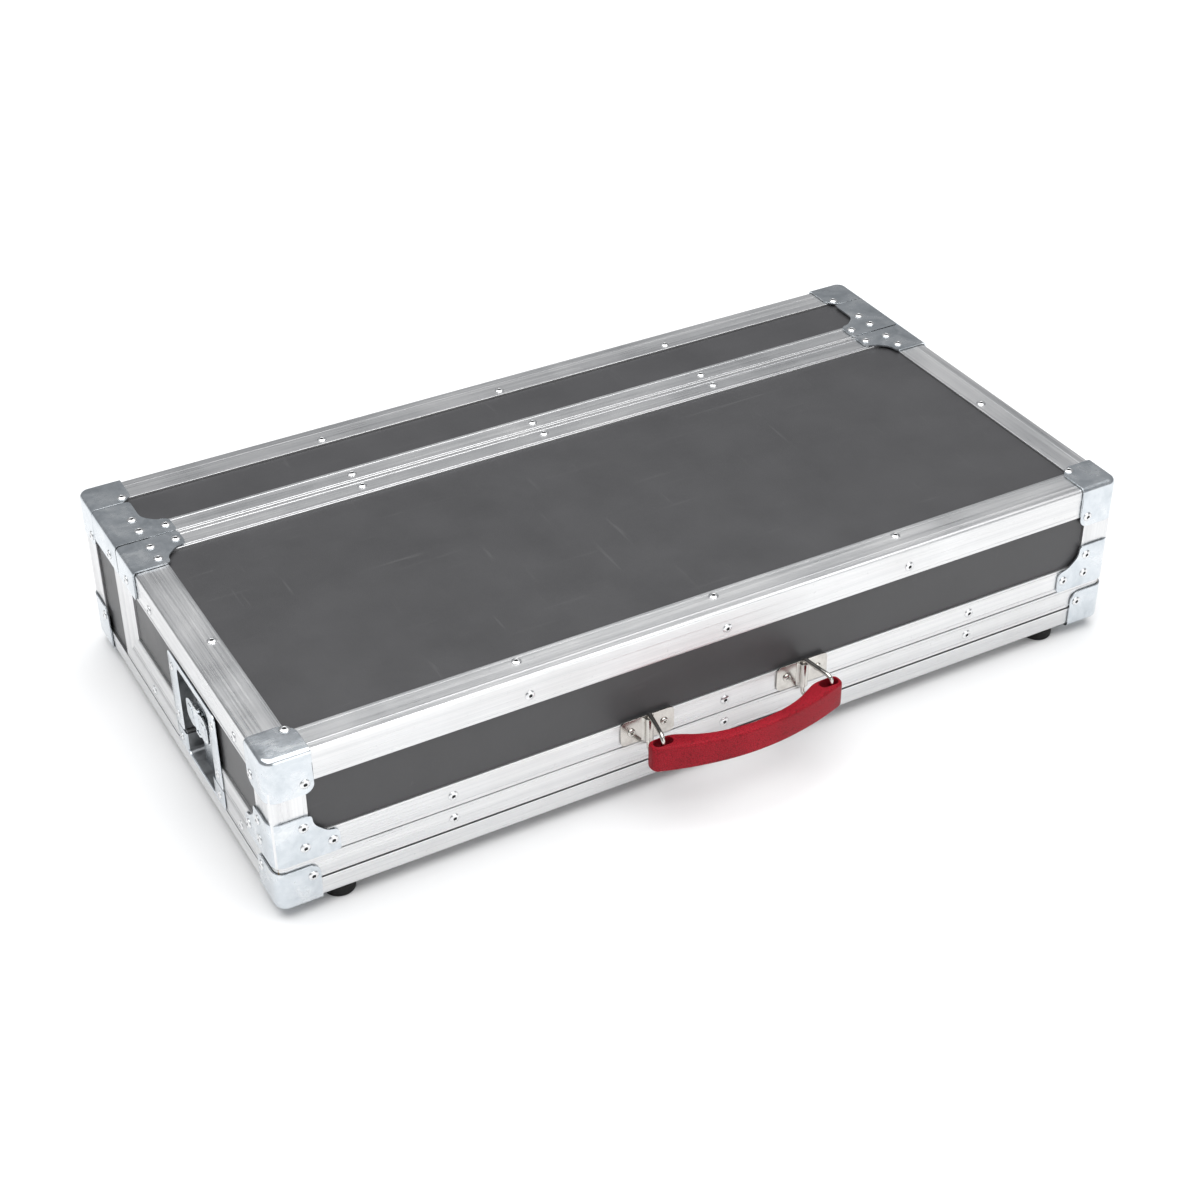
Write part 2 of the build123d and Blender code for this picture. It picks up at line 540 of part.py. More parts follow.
# ================================================================ rivets
BAND = 22.5                 # rivet line from the outer edge of a flange
THIRDS = (-180.0, 0.0, 180.0)
TOP, OUT = ZT, Vector(0, 0, 1)
with BuildPart() as lid_rivets:
    for rx in THIRDS:
        dome(Vector(rx, YF + BAND, ZT), Z)
        dome(Vector(rx, YF, ZT - 18), -Y)
        dome(Vector(rx, YP - 10.5, ZT), Z)
    for rx in (-250.0, 0.0, 250.0):
        dome(Vector(rx, YF, ZP + 12), -Y)
    for side in (-1, 1):
        ex, n = side * XE, side * X
        dome(Vector(side * (XE - BAND), CASE_Y - 50, ZT), Z)
        for ry in (-150.0, 40.0):
            dome(Vector(ex, CASE_Y + ry, ZT - 18), n)
        dome(Vector(side * 371, YF + 30, ZT + PROUD), Z)
        dome(Vector(side * 370.5, YF - PROUD, ZT - 28), -Y)
        dome(Vector(ex + side * PROUD, YF + 29, ZT - 28), n)
        for bx, by in ((375.5, 33.0), (375.5, 13.5), (352.5, 12.0)):
            dome(Vector(side * bx, YP - GAP - by, ZT + PROUD), Z)
            dome(Vector(side * bx, YF - PROUD, ZP + GAP + by), -Y)
            dome(Vector(ex + side * PROUD, YF + (XE - bx), ZP + GAP + by), n)
        dome(Vector(ex + side * PROUD, YP - 22, ZT - 18), n)
        for dy in (-45.0, 45.0):
            for rz in (ZP + 12, ZP + 60):
                dome(Vector(side * (XE + 1.4), LATCH_Y + dy, rz), n, 3.6, 1.2)
save(lid_rivets, "lid_rivets")

with BuildPart() as base_rivets:
    for rx in THIRDS:
        dome(Vector(rx, YB - BAND, ZT), Z)
        dome(Vector(rx, YB, ZT - 18), Y)
        dome(Vector(rx, YB, Z0 + 18), Y)
        dome(Vector(rx, YP + 12, ZT), Z)
        dome(Vector(rx, YF + BAND, Z0), -Z)
        dome(Vector(rx, YB - BAND, Z0), -Z)
    for rx in (-250.0, 0.0, 250.0):
        dome(Vector(rx, YF, ZP - 11), -Y)
    for side in (-1, 1):
        ex, n = side * XE, side * X
        for ry in (-140.0, 60.0):
            dome(Vector(ex, CASE_Y + ry, ZP - 11), n)
        for bx, by in ((375.5, 33.0), (375.5, 13.5), (352.5, 12.0)):
            dome(Vector(side * bx, YP + GAP + by, ZT + PROUD), Z)
        dome(Vector(ex + side * PROUD, YP + 22, ZT - 18), n)
        dome(Vector(side * 371, YB - 30, ZT + PROUD), Z)
        dome(Vector(side * 370.5, YB + PROUD, ZT - 28), Y)
        dome(Vector(ex + side * PROUD, YB - 29, ZT - 28), n)
        dome(Vector(side * 371.5, YF - PROUD, Z0 + 25), -Y)
        dome(Vector(ex + side * PROUD, YF + 29, Z0 + 25), n)
        dome(Vector(side * 371, YB + PROUD, Z0 + 31), Y)
        dome(Vector(ex + side * PROUD, YB - 29, Z0 + 31), n)
        for dy in (-43.0, 43.0):
            dome(Vector(side * (XE + 1.4), LATCH_Y + dy, ZP - 11), n, 3.6, 1.2)
save(base_rivets, "base_rivets")
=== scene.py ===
# %% [markdown]
# Pedalboard flight case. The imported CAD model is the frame: every piece made here rides on
# one of its bodies and stands in its coordinates, so nothing has to be fitted afterwards.
# The sizes used below are read back from the boxes of a few CAD nodes, in millimetres.

# %% Load the frame and read the leading sizes
import math
import random
import bmesh
import bpy
from mathutils import Matrix, Vector


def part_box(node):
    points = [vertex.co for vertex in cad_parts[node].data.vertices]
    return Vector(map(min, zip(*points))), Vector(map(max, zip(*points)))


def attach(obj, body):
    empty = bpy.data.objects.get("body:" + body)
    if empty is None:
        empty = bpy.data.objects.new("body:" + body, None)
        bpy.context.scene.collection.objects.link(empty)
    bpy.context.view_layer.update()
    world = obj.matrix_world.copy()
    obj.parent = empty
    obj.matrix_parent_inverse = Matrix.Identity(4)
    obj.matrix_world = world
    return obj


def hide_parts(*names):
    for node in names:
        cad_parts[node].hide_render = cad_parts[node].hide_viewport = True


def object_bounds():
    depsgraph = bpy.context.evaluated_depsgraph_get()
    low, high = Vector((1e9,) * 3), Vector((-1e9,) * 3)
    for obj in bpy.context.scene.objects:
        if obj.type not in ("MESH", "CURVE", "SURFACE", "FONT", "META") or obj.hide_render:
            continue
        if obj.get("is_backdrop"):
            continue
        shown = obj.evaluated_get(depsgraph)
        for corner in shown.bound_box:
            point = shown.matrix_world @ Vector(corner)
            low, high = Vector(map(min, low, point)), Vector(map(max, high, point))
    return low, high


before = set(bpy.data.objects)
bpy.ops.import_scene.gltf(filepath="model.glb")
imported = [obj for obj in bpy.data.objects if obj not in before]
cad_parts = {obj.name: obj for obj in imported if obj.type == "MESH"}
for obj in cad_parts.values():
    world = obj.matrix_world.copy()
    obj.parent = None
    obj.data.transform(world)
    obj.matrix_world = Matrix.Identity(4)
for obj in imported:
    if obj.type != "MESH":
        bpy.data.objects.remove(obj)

MM = 0.001
X, Y, Z = (1, 0, 0), (0, 1, 0), (0, 0, 1)
UP, DOWN, FRONT, BACK = Z, (0, 0, -1), (0, -1, 0), Y
SIDES = ((-1, "left"), (1, "right"))
CAD_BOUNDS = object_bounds()


def node_box(name):
    """Lowest and highest corner of a CAD node, in millimetres."""
    low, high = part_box(name)
    return [v / MM for v in low], [v / MM for v in high]


WALL, PLY, RIB, SHEET = 2.0, 7.0, 0.5, 1.5
PROUD, IN = RIB + SHEET, WALL + PLY
lid_low, lid_high = node_box("lid_top_panel")
XE, YF, ZT = lid_high[0] + WALL, lid_low[1] - WALL, lid_high[2] + WALL
YP = lid_high[1] + 2.4
YB = node_box("rear_top_panel")[1][1] + WALL
Z0 = node_box("base_bottom_panel")[0][2] - WALL
ZP = node_box("lid_front_panel")[0][2] - 2.4
CASE_Y = (YF + YB) / 2
print("case, mm:", round(2 * XE), round(YB - YF), round(ZT - Z0), "parting", round(ZP), round(YP))

# %% [markdown]
# The case is seen from the front left, from well above the lid. The camera is
# a plain one with no depth of field, turned by a matrix made from its yaw, pitch and roll.

# %% Camera
YAW, PITCH, ROLL = 0.50205, -0.61514, -0.00733
ahead = Vector((math.sin(YAW) * math.cos(PITCH), math.cos(YAW) * math.cos(PITCH), math.sin(PITCH)))
aside = Vector((math.cos(YAW), -math.sin(YAW), 0))
upright = aside.cross(ahead)
side_axis = math.cos(ROLL) * aside + math.sin(ROLL) * upright
up_axis = -math.sin(ROLL) * aside + math.cos(ROLL) * upright
camera = bpy.data.objects.new("camera", bpy.data.cameras.new("camera"))
camera.data.sensor_width = 36.0
camera.data.lens = 65.58
camera.data.clip_end = 50
turn = Matrix((side_axis, up_axis, -ahead)).transposed().to_4x4()
camera.matrix_world = Matrix.Translation(Vector((-779.4, CASE_Y - 1420.9, Z0 + 1166.9)) * MM) @ turn
bpy.context.collection.objects.link(camera)
bpy.context.scene.camera = camera

# %% [markdown]
# Studio: a white floor under one very large soft box, a dim even sky and a low fill in front.
# Bare metal shows what surrounds it. Seen from above, the lid's metal mirrors the dim sky behind
# the case and the front's metal mirrors the bright floor, so the front reads paler than the top.

# %% Floor and light
scene = bpy.context.scene
scene.view_settings.view_transform = "Standard"
world = bpy.data.worlds.new("studio")
world.use_nodes = True
world.node_tree.nodes["Background"].inputs["Color"].default_value = (0.95, 0.97, 1.0, 1)
world.node_tree.nodes["Background"].inputs["Strength"].default_value = 0.33
scene.world = world


def soft_box(name, place, target, size, watts, colour=(1, 1, 1)):
    """Square area light at a place, turned to its target, sizes in metres."""
    light = bpy.data.lights.new(name, "AREA")
    light.shape, light.size, light.energy, light.color = "SQUARE", size, watts, colour
    holder = bpy.data.objects.new(name, light)
    holder.location = place
    holder.rotation_euler = (Vector(target) - Vector(place)).to_track_quat("-Z", "Y").to_euler()
    bpy.context.collection.objects.link(holder)


soft_box("overhead", (-0.2, 0.0, 5.0), (0, 0, 0), 7.0, 440)
soft_box("front", (0.6, -2.8, 1.0), (0, 0, 0.1), 2.0, 20)

floor_mesh = bpy.data.meshes.new("floor")
floor_mesh.from_pydata([(-9, -9, 0), (9, -9, 0), (9, 9, 0), (-9, 9, 0)], [], [(0, 1, 2, 3)])
floor = bpy.data.objects.new("floor", floor_mesh)
bpy.context.collection.objects.link(floor)
floor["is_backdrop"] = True

# %% [markdown]
# Materials are built from nodes. A small helper places a node, sets its plain values and joins
# its inputs, so that each finish below reads as a short recipe.

# %% Node helper


def add_node(tree, kind, inputs=None, **settings):
    """Adds a node to a tree; each input is joined to a socket or set to a value."""
    made = tree.nodes.new(kind)
    for key, value in settings.items():
        setattr(made, key, value)
    for key, value in (inputs or {}).items():
        if isinstance(value, bpy.types.NodeSocket):
            tree.links.new(value, made.inputs[key])
        else:
            made.inputs[key].default_value = value
    return made


class Recipe:
    """A material under construction, with one Principled shader."""

    def __init__(self, name, **sockets):
        self.material = bpy.data.materials.new(name)
        self.material.use_nodes = True
        self.tree = self.material.node_tree
        self.shader = self.tree.nodes["Principled BSDF"]
        for socket, value in sockets.items():
            self.shader.inputs[socket.replace("_", " ")].default_value = value
        self.place = self.add("ShaderNodeTexCoord").outputs["Object"]

    def add(self, kind, inputs=None, **settings):
        return add_node(self.tree, kind, inputs, **settings)

    def stretched(self, scale, turn=(0, 0, 0)):
        """Object coordinates multiplied along each axis."""
        return self.add("ShaderNodeMapping", {"Vector": self.place, "Scale": scale,
                                              "Rotation": turn}).outputs["Vector"]

    def noise(self, vector, scale, detail=3.0, rough=0.5, warp=0.0):
        return self.add("ShaderNodeTexNoise", {"Vector": vector, "Scale": scale, "Detail": detail,
                                               "Roughness": rough, "Distortion": warp}).outputs["Fac"]

    def cells(self, vector, scale, feature="F1", output="Distance"):
        return self.add("ShaderNodeTexVoronoi", {"Vector": vector, "Scale": scale},
                        feature=feature).outputs[output]

    def ramp(self, value, *stops):
        """Colour ramp; each stop is a position and a grey or a colour."""
        node = self.add("ShaderNodeValToRGB", {"Fac": value})
        band = node.color_ramp.elements
        while len(band) < len(stops):
            band.new(0.5)
        for element, (position, colour) in zip(band, stops):
            element.position = position
            element.color = (*colour, 1) if isinstance(colour, tuple) else (colour,) * 3 + (1,)
        return node.outputs["Color"]

    def span(self, value, low, high, source=(0.0, 1.0)):
        """Value mapped linearly from a source range to low..high."""
        return self.add("ShaderNodeMapRange", {"Value": value, "From Min": source[0],
                                               "From Max": source[1], "To Min": low,
                                               "To Max": high}).outputs["Result"]

    def tones(self, value, dark, pale):
        """Two tones at 0.3 and 0.7, where most of a noise lies."""
        return self.ramp(value, (0.3, dark), (0.7, pale))

    def spread(self, value, low, high):
        """The same part of a noise, mapped to low..high."""
        return self.span(value, low, high, (0.3, 0.7))

    def mix(self, factor, first, second, blend="MIX"):
        node = self.add("ShaderNodeMix", data_type="RGBA", blend_type=blend)
        for index, value in ((0, factor), (6, first), (7, second)):
            if isinstance(value, bpy.types.NodeSocket):
                self.tree.links.new(value, node.inputs[index])
            elif index:
                node.inputs[index].default_value = (*value, 1) if len(value) == 3 else value
            else:
                node.inputs[index].default_value = value
        return node.outputs[2]

    def math(self, operation, first, second=0.0):
        return self.add("ShaderNodeMath", {0: first, 1: second}, operation=operation).outputs[0]

    def finish(self, colour=None, rough=None, heights=()):
        """Joins colour, roughness and a stack of bumps to the shader."""
        if colour is not None:
            self.tree.links.new(colour, self.shader.inputs["Base Color"])
        if rough is not None:
            self.tree.links.new(rough, self.shader.inputs["Roughness"])
        normal = None
        for height, strength, distance in heights:
            inputs = {"Height": height, "Strength": strength, "Distance": distance}
            if normal:
                inputs["Normal"] = normal
            normal = self.add("ShaderNodeBump", inputs).outputs["Normal"]
        if normal:
            self.tree.links.new(normal, self.shader.inputs["Normal"])
        return self.material


print("recipe helper ready")

# %% [markdown]
# Drawn aluminium: the die leaves fine lines along the run, so one noise is stretched by a few
# hundred times along the section. It tints, roughens and lifts the surface together. A second,
# slow noise gives the cloudy look of metal that has been handled.

# %% Aluminium sections


def drawn_aluminium(name, run):
    make = Recipe(name, Metallic=1.0)
    along = [900.0, 900.0, 900.0]
    along["xyz".index(run)] = 6.0
    lines = make.noise(make.stretched(along), 1.0, 5.0, 0.65)
    broad = [120.0, 120.0, 120.0]
    broad["xyz".index(run)] = 1.5
    bands = make.noise(make.stretched(broad), 1.0, 2.0, 0.5)
    clouds = make.noise(make.place, 9.0, 4.0, 0.6, 0.4)
    nicks = make.ramp(make.noise(make.stretched((310, 290, 330)), 1.0, 2.0), (0.70, 0.0), (0.78, 1.0))
    tone = make.ramp(lines, (0.30, (0.70, 0.705, 0.71)), (0.52, (0.77, 0.772, 0.775)),
                     (0.72, (0.82, 0.82, 0.815)))
    tone = make.mix(make.span(bands, 0.0, 0.40, (0.35, 0.7)), tone, (0.66, 0.665, 0.68), "MULTIPLY")
    tone = make.mix(make.span(clouds, 0.0, 0.25, (0.45, 0.75)), tone, (0.74, 0.72, 0.70), "MULTIPLY")
    tone = make.mix(make.math("MULTIPLY", nicks, 0.25), tone, (0.35, 0.35, 0.36))
    rough = make.math("ADD", make.spread(lines, 0.26, 0.40),
                      make.spread(clouds, -0.05, 0.08))
    return make.finish(tone, rough, [(lines, 0.16, 0.0001), (nicks, 0.12, 0.0001)])


ALU = {run: drawn_aluminium("drawn_aluminium_" + run, run) for run in "xyz"}
print("aluminium:", [m.name for m in ALU.values()])

# %% [markdown]
# Zinc plate on pressed steel is bluish and faintly flowered: cells of slightly different tone,
# with a cloudy bloom over them and small rubbed patches. It is smoother than the aluminium.

# %% Zinc plate
make = Recipe("zinc_plate", Metallic=1.0)
flowers = make.cells(make.place, 210.0, output="Color")
flower_tone = make.add("ShaderNodeSeparateColor", {"Color": flowers}).outputs[0]
bloom = make.noise(make.place, 38.0, 4.0, 0.6, 0.6)
smear = make.noise(make.stretched((60, 420, 420)), 1.0, 3.0, 0.6)
tone = make.ramp(bloom, (0.30, (0.56, 0.60, 0.63)), (0.52, (0.68, 0.715, 0.745)), (0.74, (0.78, 0.80, 0.81)))
tone = make.mix(make.span(flower_tone, 0.0, 0.22), tone, (0.66, 0.70, 0.74), "MULTIPLY")
rough = make.math("ADD", make.spread(bloom, 0.17, 0.29), make.span(smear, -0.03, 0.06))
ZINC = make.finish(tone, rough, [(smear, 0.10, 0.0001), (flower_tone, 0.05, 0.0001)])

# %% [markdown]
# The pockets of the latches read much darker than the flanges round them, so they get a darker and duller
# zinc of their own: painted shade in the recess.

# %% Painted shade in the latch pockets
# Near-black zinc that paints the shade inside the latch pockets.
make = Recipe("painted_pocket_shade_zinc", Metallic=0.9)
film = make.noise(make.place, 55.0, 4.0, 0.6, 0.5)
PAINTED_POCKET_SHADE = make.finish(make.tones(film, (0.10, 0.105, 0.11), (0.24, 0.25, 0.26)),
                      make.spread(film, 0.30, 0.46), [(film, 0.08, 0.0002)])

# %% [markdown]
# Nickel on the handle fittings is polished and a little warm. Screws and rivets share a plain
# bright metal; the rivets' mandrel pits are dull steel.

# %% Nickel, bright metal and pit
make = Recipe("nickel_plate", Metallic=1.0)
haze = make.noise(make.place, 160.0, 3.0, 0.6, 0.3)
NICKEL = make.finish(make.tones(haze, (0.52, 0.50, 0.47), (0.68, 0.66, 0.62)),
                     make.spread(haze, 0.10, 0.24), [(haze, 0.05, 0.0002)])

make = Recipe("bright_metal", Metallic=1.0)
haze = make.noise(make.place, 420.0, 3.0, 0.6)
BRIGHT = make.finish(make.tones(haze, (0.66, 0.67, 0.68), (0.88, 0.88, 0.88)),
                     make.spread(haze, 0.20, 0.38), [(haze, 0.1, 0.0001)])

make = Recipe("mandrel_steel", Metallic=1.0)
haze = make.noise(make.place, 900.0, 2.0)
PIT = make.finish(make.tones(haze, 0.03, 0.10), make.span(haze, 0.5, 0.7))

# %% [markdown]
# The panels are birch plywood under a grey laminate. The laminate has a very fine pebble and a
# few dull scuffs. The bare back of a panel shows birch grain, and its cut edge shows the plies.

# %% Laminate and plywood
make = Recipe("grey_laminate", Specular_IOR_Level=0.5)
pebble = make.cells(make.place, 1500.0, "SMOOTH_F1")
mottle = make.noise(make.place, 14.0, 4.0, 0.6)
grit = make.noise(make.place, 2600.0, 2.0, 0.6)
scuffs = make.ramp(make.noise(make.stretched((9, 210, 60), (0, 0, 0.7)), 1.0, 3.0, 0.6, 0.3),
                   (0.66, 0.0), (0.74, 1.0))
rubs = make.ramp(make.noise(make.stretched((160, 12, 60), (0, 0, -0.35)), 1.0, 3.0, 0.6, 0.3),
                 (0.67, 0.0), (0.75, 1.0))
tone = make.tones(mottle, (0.042, 0.0415, 0.0435), (0.052, 0.0515, 0.054))
tone = make.mix(make.span(grit, 0.0, 0.35, (0.4, 0.8)), tone, (0.080, 0.080, 0.083))
tone = make.mix(make.math("MULTIPLY", make.math("MAXIMUM", scuffs, rubs), 0.16), tone, (0.13, 0.13, 0.13))
rough = make.math("ADD", make.spread(mottle, 0.35, 0.43),
                  make.math("MULTIPLY", make.math("MAXIMUM", scuffs, rubs), 0.12))
LAMINATE = make.finish(tone, rough, [(pebble, 0.22, 0.0003), (grit, 0.10, 0.0002)])

make = Recipe("birch_veneer", Specular_IOR_Level=0.3)
grain = make.noise(make.stretched((5, 90, 90)), 1.0, 5.0, 0.6, 0.5)
flecks = make.ramp(make.noise(make.stretched((40, 900, 900)), 1.0, 2.0), (0.60, 0.0), (0.72, 1.0))
tone = make.ramp(grain, (0.3, (0.50, 0.34, 0.19)), (0.55, (0.63, 0.46, 0.28)), (0.75, (0.70, 0.54, 0.35)))
tone = make.mix(make.math("MULTIPLY", flecks, 0.35), tone, (0.36, 0.22, 0.11))
BIRCH = make.finish(tone, make.spread(grain, 0.50, 0.66), [(grain, 0.2, 0.0003)])


def ply_edge(name, through):
    """Layers of veneer seen on a cut edge, stacked along one axis."""
    make = Recipe(name, Specular_IOR_Level=0.2)
    split = make.add("ShaderNodeSeparateXYZ", {"Vector": make.place}).outputs["xyz".index(through)]
    layer = make.math("FRACT", make.math("MULTIPLY", split, 1 / 0.0028))
    fibres = make.noise(make.stretched((500, 500, 500)), 1.0, 3.0)
    tone = make.ramp(layer, (0.42, (0.60, 0.44, 0.26)), (0.58, (0.33, 0.20, 0.10)))
    tone = make.mix(make.span(fibres, 0.0, 0.4), tone, (0.70, 0.55, 0.36))
    return make.finish(tone, make.span(fibres, 0.6, 0.8), [(fibres, 0.3, 0.0002)])


PLY_EDGE = {axis: ply_edge("ply_edge_" + axis, axis) for axis in "xyz"}
print("plywood finishes:", LAMINATE.name, BIRCH.name, len(PLY_EDGE))

# %% [markdown]
# The grip is red moulded plastic with a fine leather grain: small rounded cells, each a little
# raised, over a slow change of tone where hands have polished it.

# %% Grip, rubber, foam, carpet, pine
make = Recipe("red_grip", Specular_IOR_Level=0.12)
grain = make.cells(make.place, 520.0, "DISTANCE_TO_EDGE")
wrinkle = make.noise(make.stretched((60, 260, 260)), 1.0, 4.0, 0.6, 0.8)
worn = make.noise(make.place, 26.0, 3.0)
tone = make.tones(worn, (0.275, 0.006, 0.015), (0.380, 0.012, 0.025))
tone = make.mix(make.ramp(grain, (0.0, 0.75), (0.16, 0.0)), tone, (0.10, 0.002, 0.005))
RED = make.finish(tone, make.spread(worn, 0.36, 0.50),
                  [(make.ramp(grain, (0.0, 0.0), (0.16, 1.0)), 0.5, 0.0003), (wrinkle, 0.18, 0.0006)])

make = Recipe("black_rubber", Specular_IOR_Level=0.22)
dust = make.noise(make.place, 300.0, 4.0, 0.7)
RUBBER = make.finish(make.ramp(dust, (0.35, 0.004), (0.75, 0.018)), make.span(dust, 0.6, 0.85),
                     [(dust, 0.2, 0.0002)])

make = Recipe("dark_foam", Specular_IOR_Level=0.1)
pores = make.cells(make.place, 900.0)
clouds = make.noise(make.place, 60.0, 3.0)
tone = make.ramp(pores, (0.05, 0.012), (0.45, 0.060))
tone = make.mix(make.span(clouds, 0.0, 0.3), tone, (0.075, 0.075, 0.08))
FOAM = make.finish(tone, make.span(pores, 0.85, 0.95), [(pores, 0.7, 0.0006)])

make = Recipe("loop_carpet", Specular_IOR_Level=0.1, Sheen_Weight=0.35, Sheen_Roughness=0.5)
loops = make.cells(make.place, 620.0)
fluff = make.noise(make.place, 1300.0, 3.0, 0.7)
tone = make.ramp(loops, (0.1, (0.034, 0.034, 0.037)), (0.6, (0.010, 0.010, 0.011)))
tone = make.mix(make.span(fluff, 0.0, 0.4, (0.4, 0.9)), tone, (0.075, 0.075, 0.08))
CARPET = make.finish(tone, make.span(fluff, 0.8, 0.95), [(loops, 0.8, 0.0008), (fluff, 0.4, 0.0003)])

make = Recipe("planed_pine", Specular_IOR_Level=0.3)
rings = make.noise(make.stretched((160, 4, 160)), 1.0, 4.0, 0.6, 0.7)
tone = make.ramp(rings, (0.3, (0.55, 0.36, 0.18)), (0.6, (0.68, 0.50, 0.29)), (0.72, (0.48, 0.28, 0.13)))
PINE = make.finish(tone, make.span(rings, 0.5, 0.65), [(rings, 0.25, 0.0004)])

make = Recipe("white_floor", Roughness=0.8, Specular_IOR_Level=0.2)
paper = make.noise(make.place, 3.0, 3.0)
floor_mesh.materials.append(make.finish(make.tones(paper, 0.88, 0.90)))
print("materials:", len(bpy.data.materials))

# %% [markdown]
# Every piece ends the same way: normals outwards, smooth faces with sharp edges kept by angle, a body to ride
# on and, when it stands for a CAD node, that node hidden.

# %% Ending a piece


def deliver(name, shape, materials, body, slot=None, sharp=32.0, turn_out=True):
    """Makes an object from a bmesh in millimetres; with a slot it stands for its CAD node."""
    bmesh.ops.remove_doubles(shape, verts=shape.verts, dist=0.0005)
    if turn_out:
        bmesh.ops.recalc_face_normals(shape, faces=shape.faces)
    bmesh.ops.scale(shape, vec=(MM, MM, MM), verts=shape.verts)
    mesh = bpy.data.meshes.new(name + "_detail")
    shape.to_mesh(mesh)
    shape.free()
    for material in materials:
        mesh.materials.append(material)
    mesh.polygons.foreach_set("use_smooth", [True] * len(mesh.polygons))
    mesh.set_sharp_from_angle(angle=math.radians(sharp))
    item = bpy.data.objects.new(name + "_detail", mesh)
    bpy.context.collection.objects.link(item)
    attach(item, body)
    if slot:
        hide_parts(name)
    triangles = sum(len(p.vertices) - 2 for p in mesh.polygons)
    print(f"{name}: {triangles} triangles on {body}")
    return item


def soften(item, width, segments=2, angle=40.0):
    """Small rounded edges, as every cut and pressed edge has."""
    bevel = item.modifiers.new("soft_edges", "BEVEL")
    bevel.width, bevel.segments = width * MM, segments
    bevel.limit_method, bevel.angle_limit = "ANGLE", math.radians(angle)
    bevel.harden_normals = True
    bevel.use_clamp_overlap = True
    return item


def pressed(name, shape, body, width=0.3):
    """Piece of zinc-plated sheet with softened edges."""
    return soften(deliver(name, shape, [ZINC], body, "zinc_plated_steel", 40), width)


def level(item):
    """Broad faces keep their own normals, so the small ribs don't shade them."""
    even = item.modifiers.new("even_faces", "WEIGHTED_NORMAL")
    even.weight, even.keep_sharp = 95, True
    return item


def skin(shape, rings, material=0, closed=False, open_side=False):
    """Joins each ring of vertices to the next; a ring of one vertex makes a point."""
    for low, high in zip(rings, rings[1:] + (rings[:1] if closed else [])):
        count = max(len(low), len(high))
        for i in range(count - open_side):
            j = (i + 1) % count
            corners = [low[i % len(low)], low[j % len(low)], high[j % len(high)], high[i % len(high)]]
            corners = list(dict.fromkeys(corners))
            if len(corners) > 2:
                shape.faces.new(corners).material_index = material
    return shape


def circle(shape, centre, u, v, radius, steps):
    """Vertices on a circle in the plane of u and v."""
    return [shape.verts.new(centre + (u * math.cos(math.tau * i / steps)
                                      + v * math.sin(math.tau * i / steps)) * radius)
            for i in range(steps)]


def arc(cx, cy, radius, start, end, steps):
    """Points on an arc, angles in degrees."""
    return [(cx + radius * math.cos(math.radians(start + (end - start) * i / steps)),
             cy + radius * math.sin(math.radians(start + (end - start) * i / steps)))
            for i in range(steps + 1)]


def rounded(points, radii, steps=5):
    """Closed outline with its corners rounded by a quadratic blend."""
    outline = []
    for i, (point, radius) in enumerate(zip(points, radii)):
        p = Vector(point)
        if not radius:
            outline.append((p.x, p.y))
            continue
        before = (Vector(points[i - 1]) - p).normalized()
        after = (Vector(points[(i + 1) % len(points)]) - p).normalized()
        a, b = p + before * radius, p + after * radius
        for k in range(steps + 1):
            t = k / steps
            q = a * (1 - t) ** 2 + p * 2 * t * (1 - t) + b * t ** 2
            outline.append((q.x, q.y))
    return outline


def prism(shape, outline, place, thick, material=0, holes=()):
    """Adds a flat plate to a bmesh. place turns (u, v, w) in mm into a point; thick runs along w."""
    rings = [outline, *holes]
    made = []
    for w in (0.0, thick):
        edges = []
        for ring in rings:
            corners = [shape.verts.new(place(u, v, w)) for u, v in ring]
            edges.append((corners, [shape.edges.new((corners[i], corners[(i + 1) % len(corners)]))
                                    for i in range(len(corners))]))
        made.append(edges)
    for (low, _), (high, _) in zip(made[0], made[1]):
        for i in range(len(low)):
            j = (i + 1) % len(low)
            shape.faces.new((low[i], low[j], high[j], high[i])).material_index = material
    for level_edges in made:
        if holes:
            flat = [e for _, ring_edges in level_edges for e in ring_edges]
            filled = bmesh.ops.triangle_fill(shape, use_beauty=True, use_dissolve=False, edges=flat)
            for face in filled["geom"]:
                if isinstance(face, bmesh.types.BMFace):
                    face.material_index = material
        else:
            shape.faces.new(level_edges[0][0]).material_index = material
    return shape


def along(axis, start, sign=1):
    """Place function: the outline's (u, v) lie in the plane across an axis, w runs along it."""
    if axis == "x":
        return lambda u, v, w: (start + sign * w, u, v)
    if axis == "y":
        return lambda u, v, w: (u, start + sign * w, v)
    return lambda u, v, w: (u, v, start + sign * w)


print("mesh helpers ready")

# %% [markdown]
# Panels are plywood plates. Each has three finishes: laminate on the outer face, veneer on the
# inner face and plies on the cut edges. The end panels are cut out round the latches, and the
# end panels of the tray rise at the back into the ends of the full-height box.

# %% Panels
LATCH_Y = CASE_Y - 54.0
LATCH_Z = ZP + 34.0
GAP, CLOSE_W = 0.4, 23.5


def panel(name, axis, outer, outline, body):
    """Plywood plate whose outer face lies at a coordinate on its axis."""
    middle = {"x": 0, "y": CASE_Y, "z": (Z0 + ZT) / 2}[axis]
    inward = 1 if outer < middle else -1
    shape = prism(bmesh.new(), outline, along(axis, outer, inward), PLY, 2)
    number = "xyz".index(axis)
    for face in shape.faces:
        centre = face.calc_center_median()[number]
        if abs(face.normal[number]) > 0.9 or len(face.verts) > 4 or face.calc_area() > 12000:
            if abs(centre - outer) < 0.01:
                face.material_index = 0
            elif abs(centre - outer - inward * PLY) < 0.01:
                face.material_index = 1
    item = deliver(name, shape, [LAMINATE, BIRCH, PLY_EDGE[axis]], body, "laminated_plywood")
    return soften(item, 0.35)


def rectangle(u0, u1, v0, v1):
    return [(u0, v0), (u1, v0), (u1, v1), (u0, v1)]


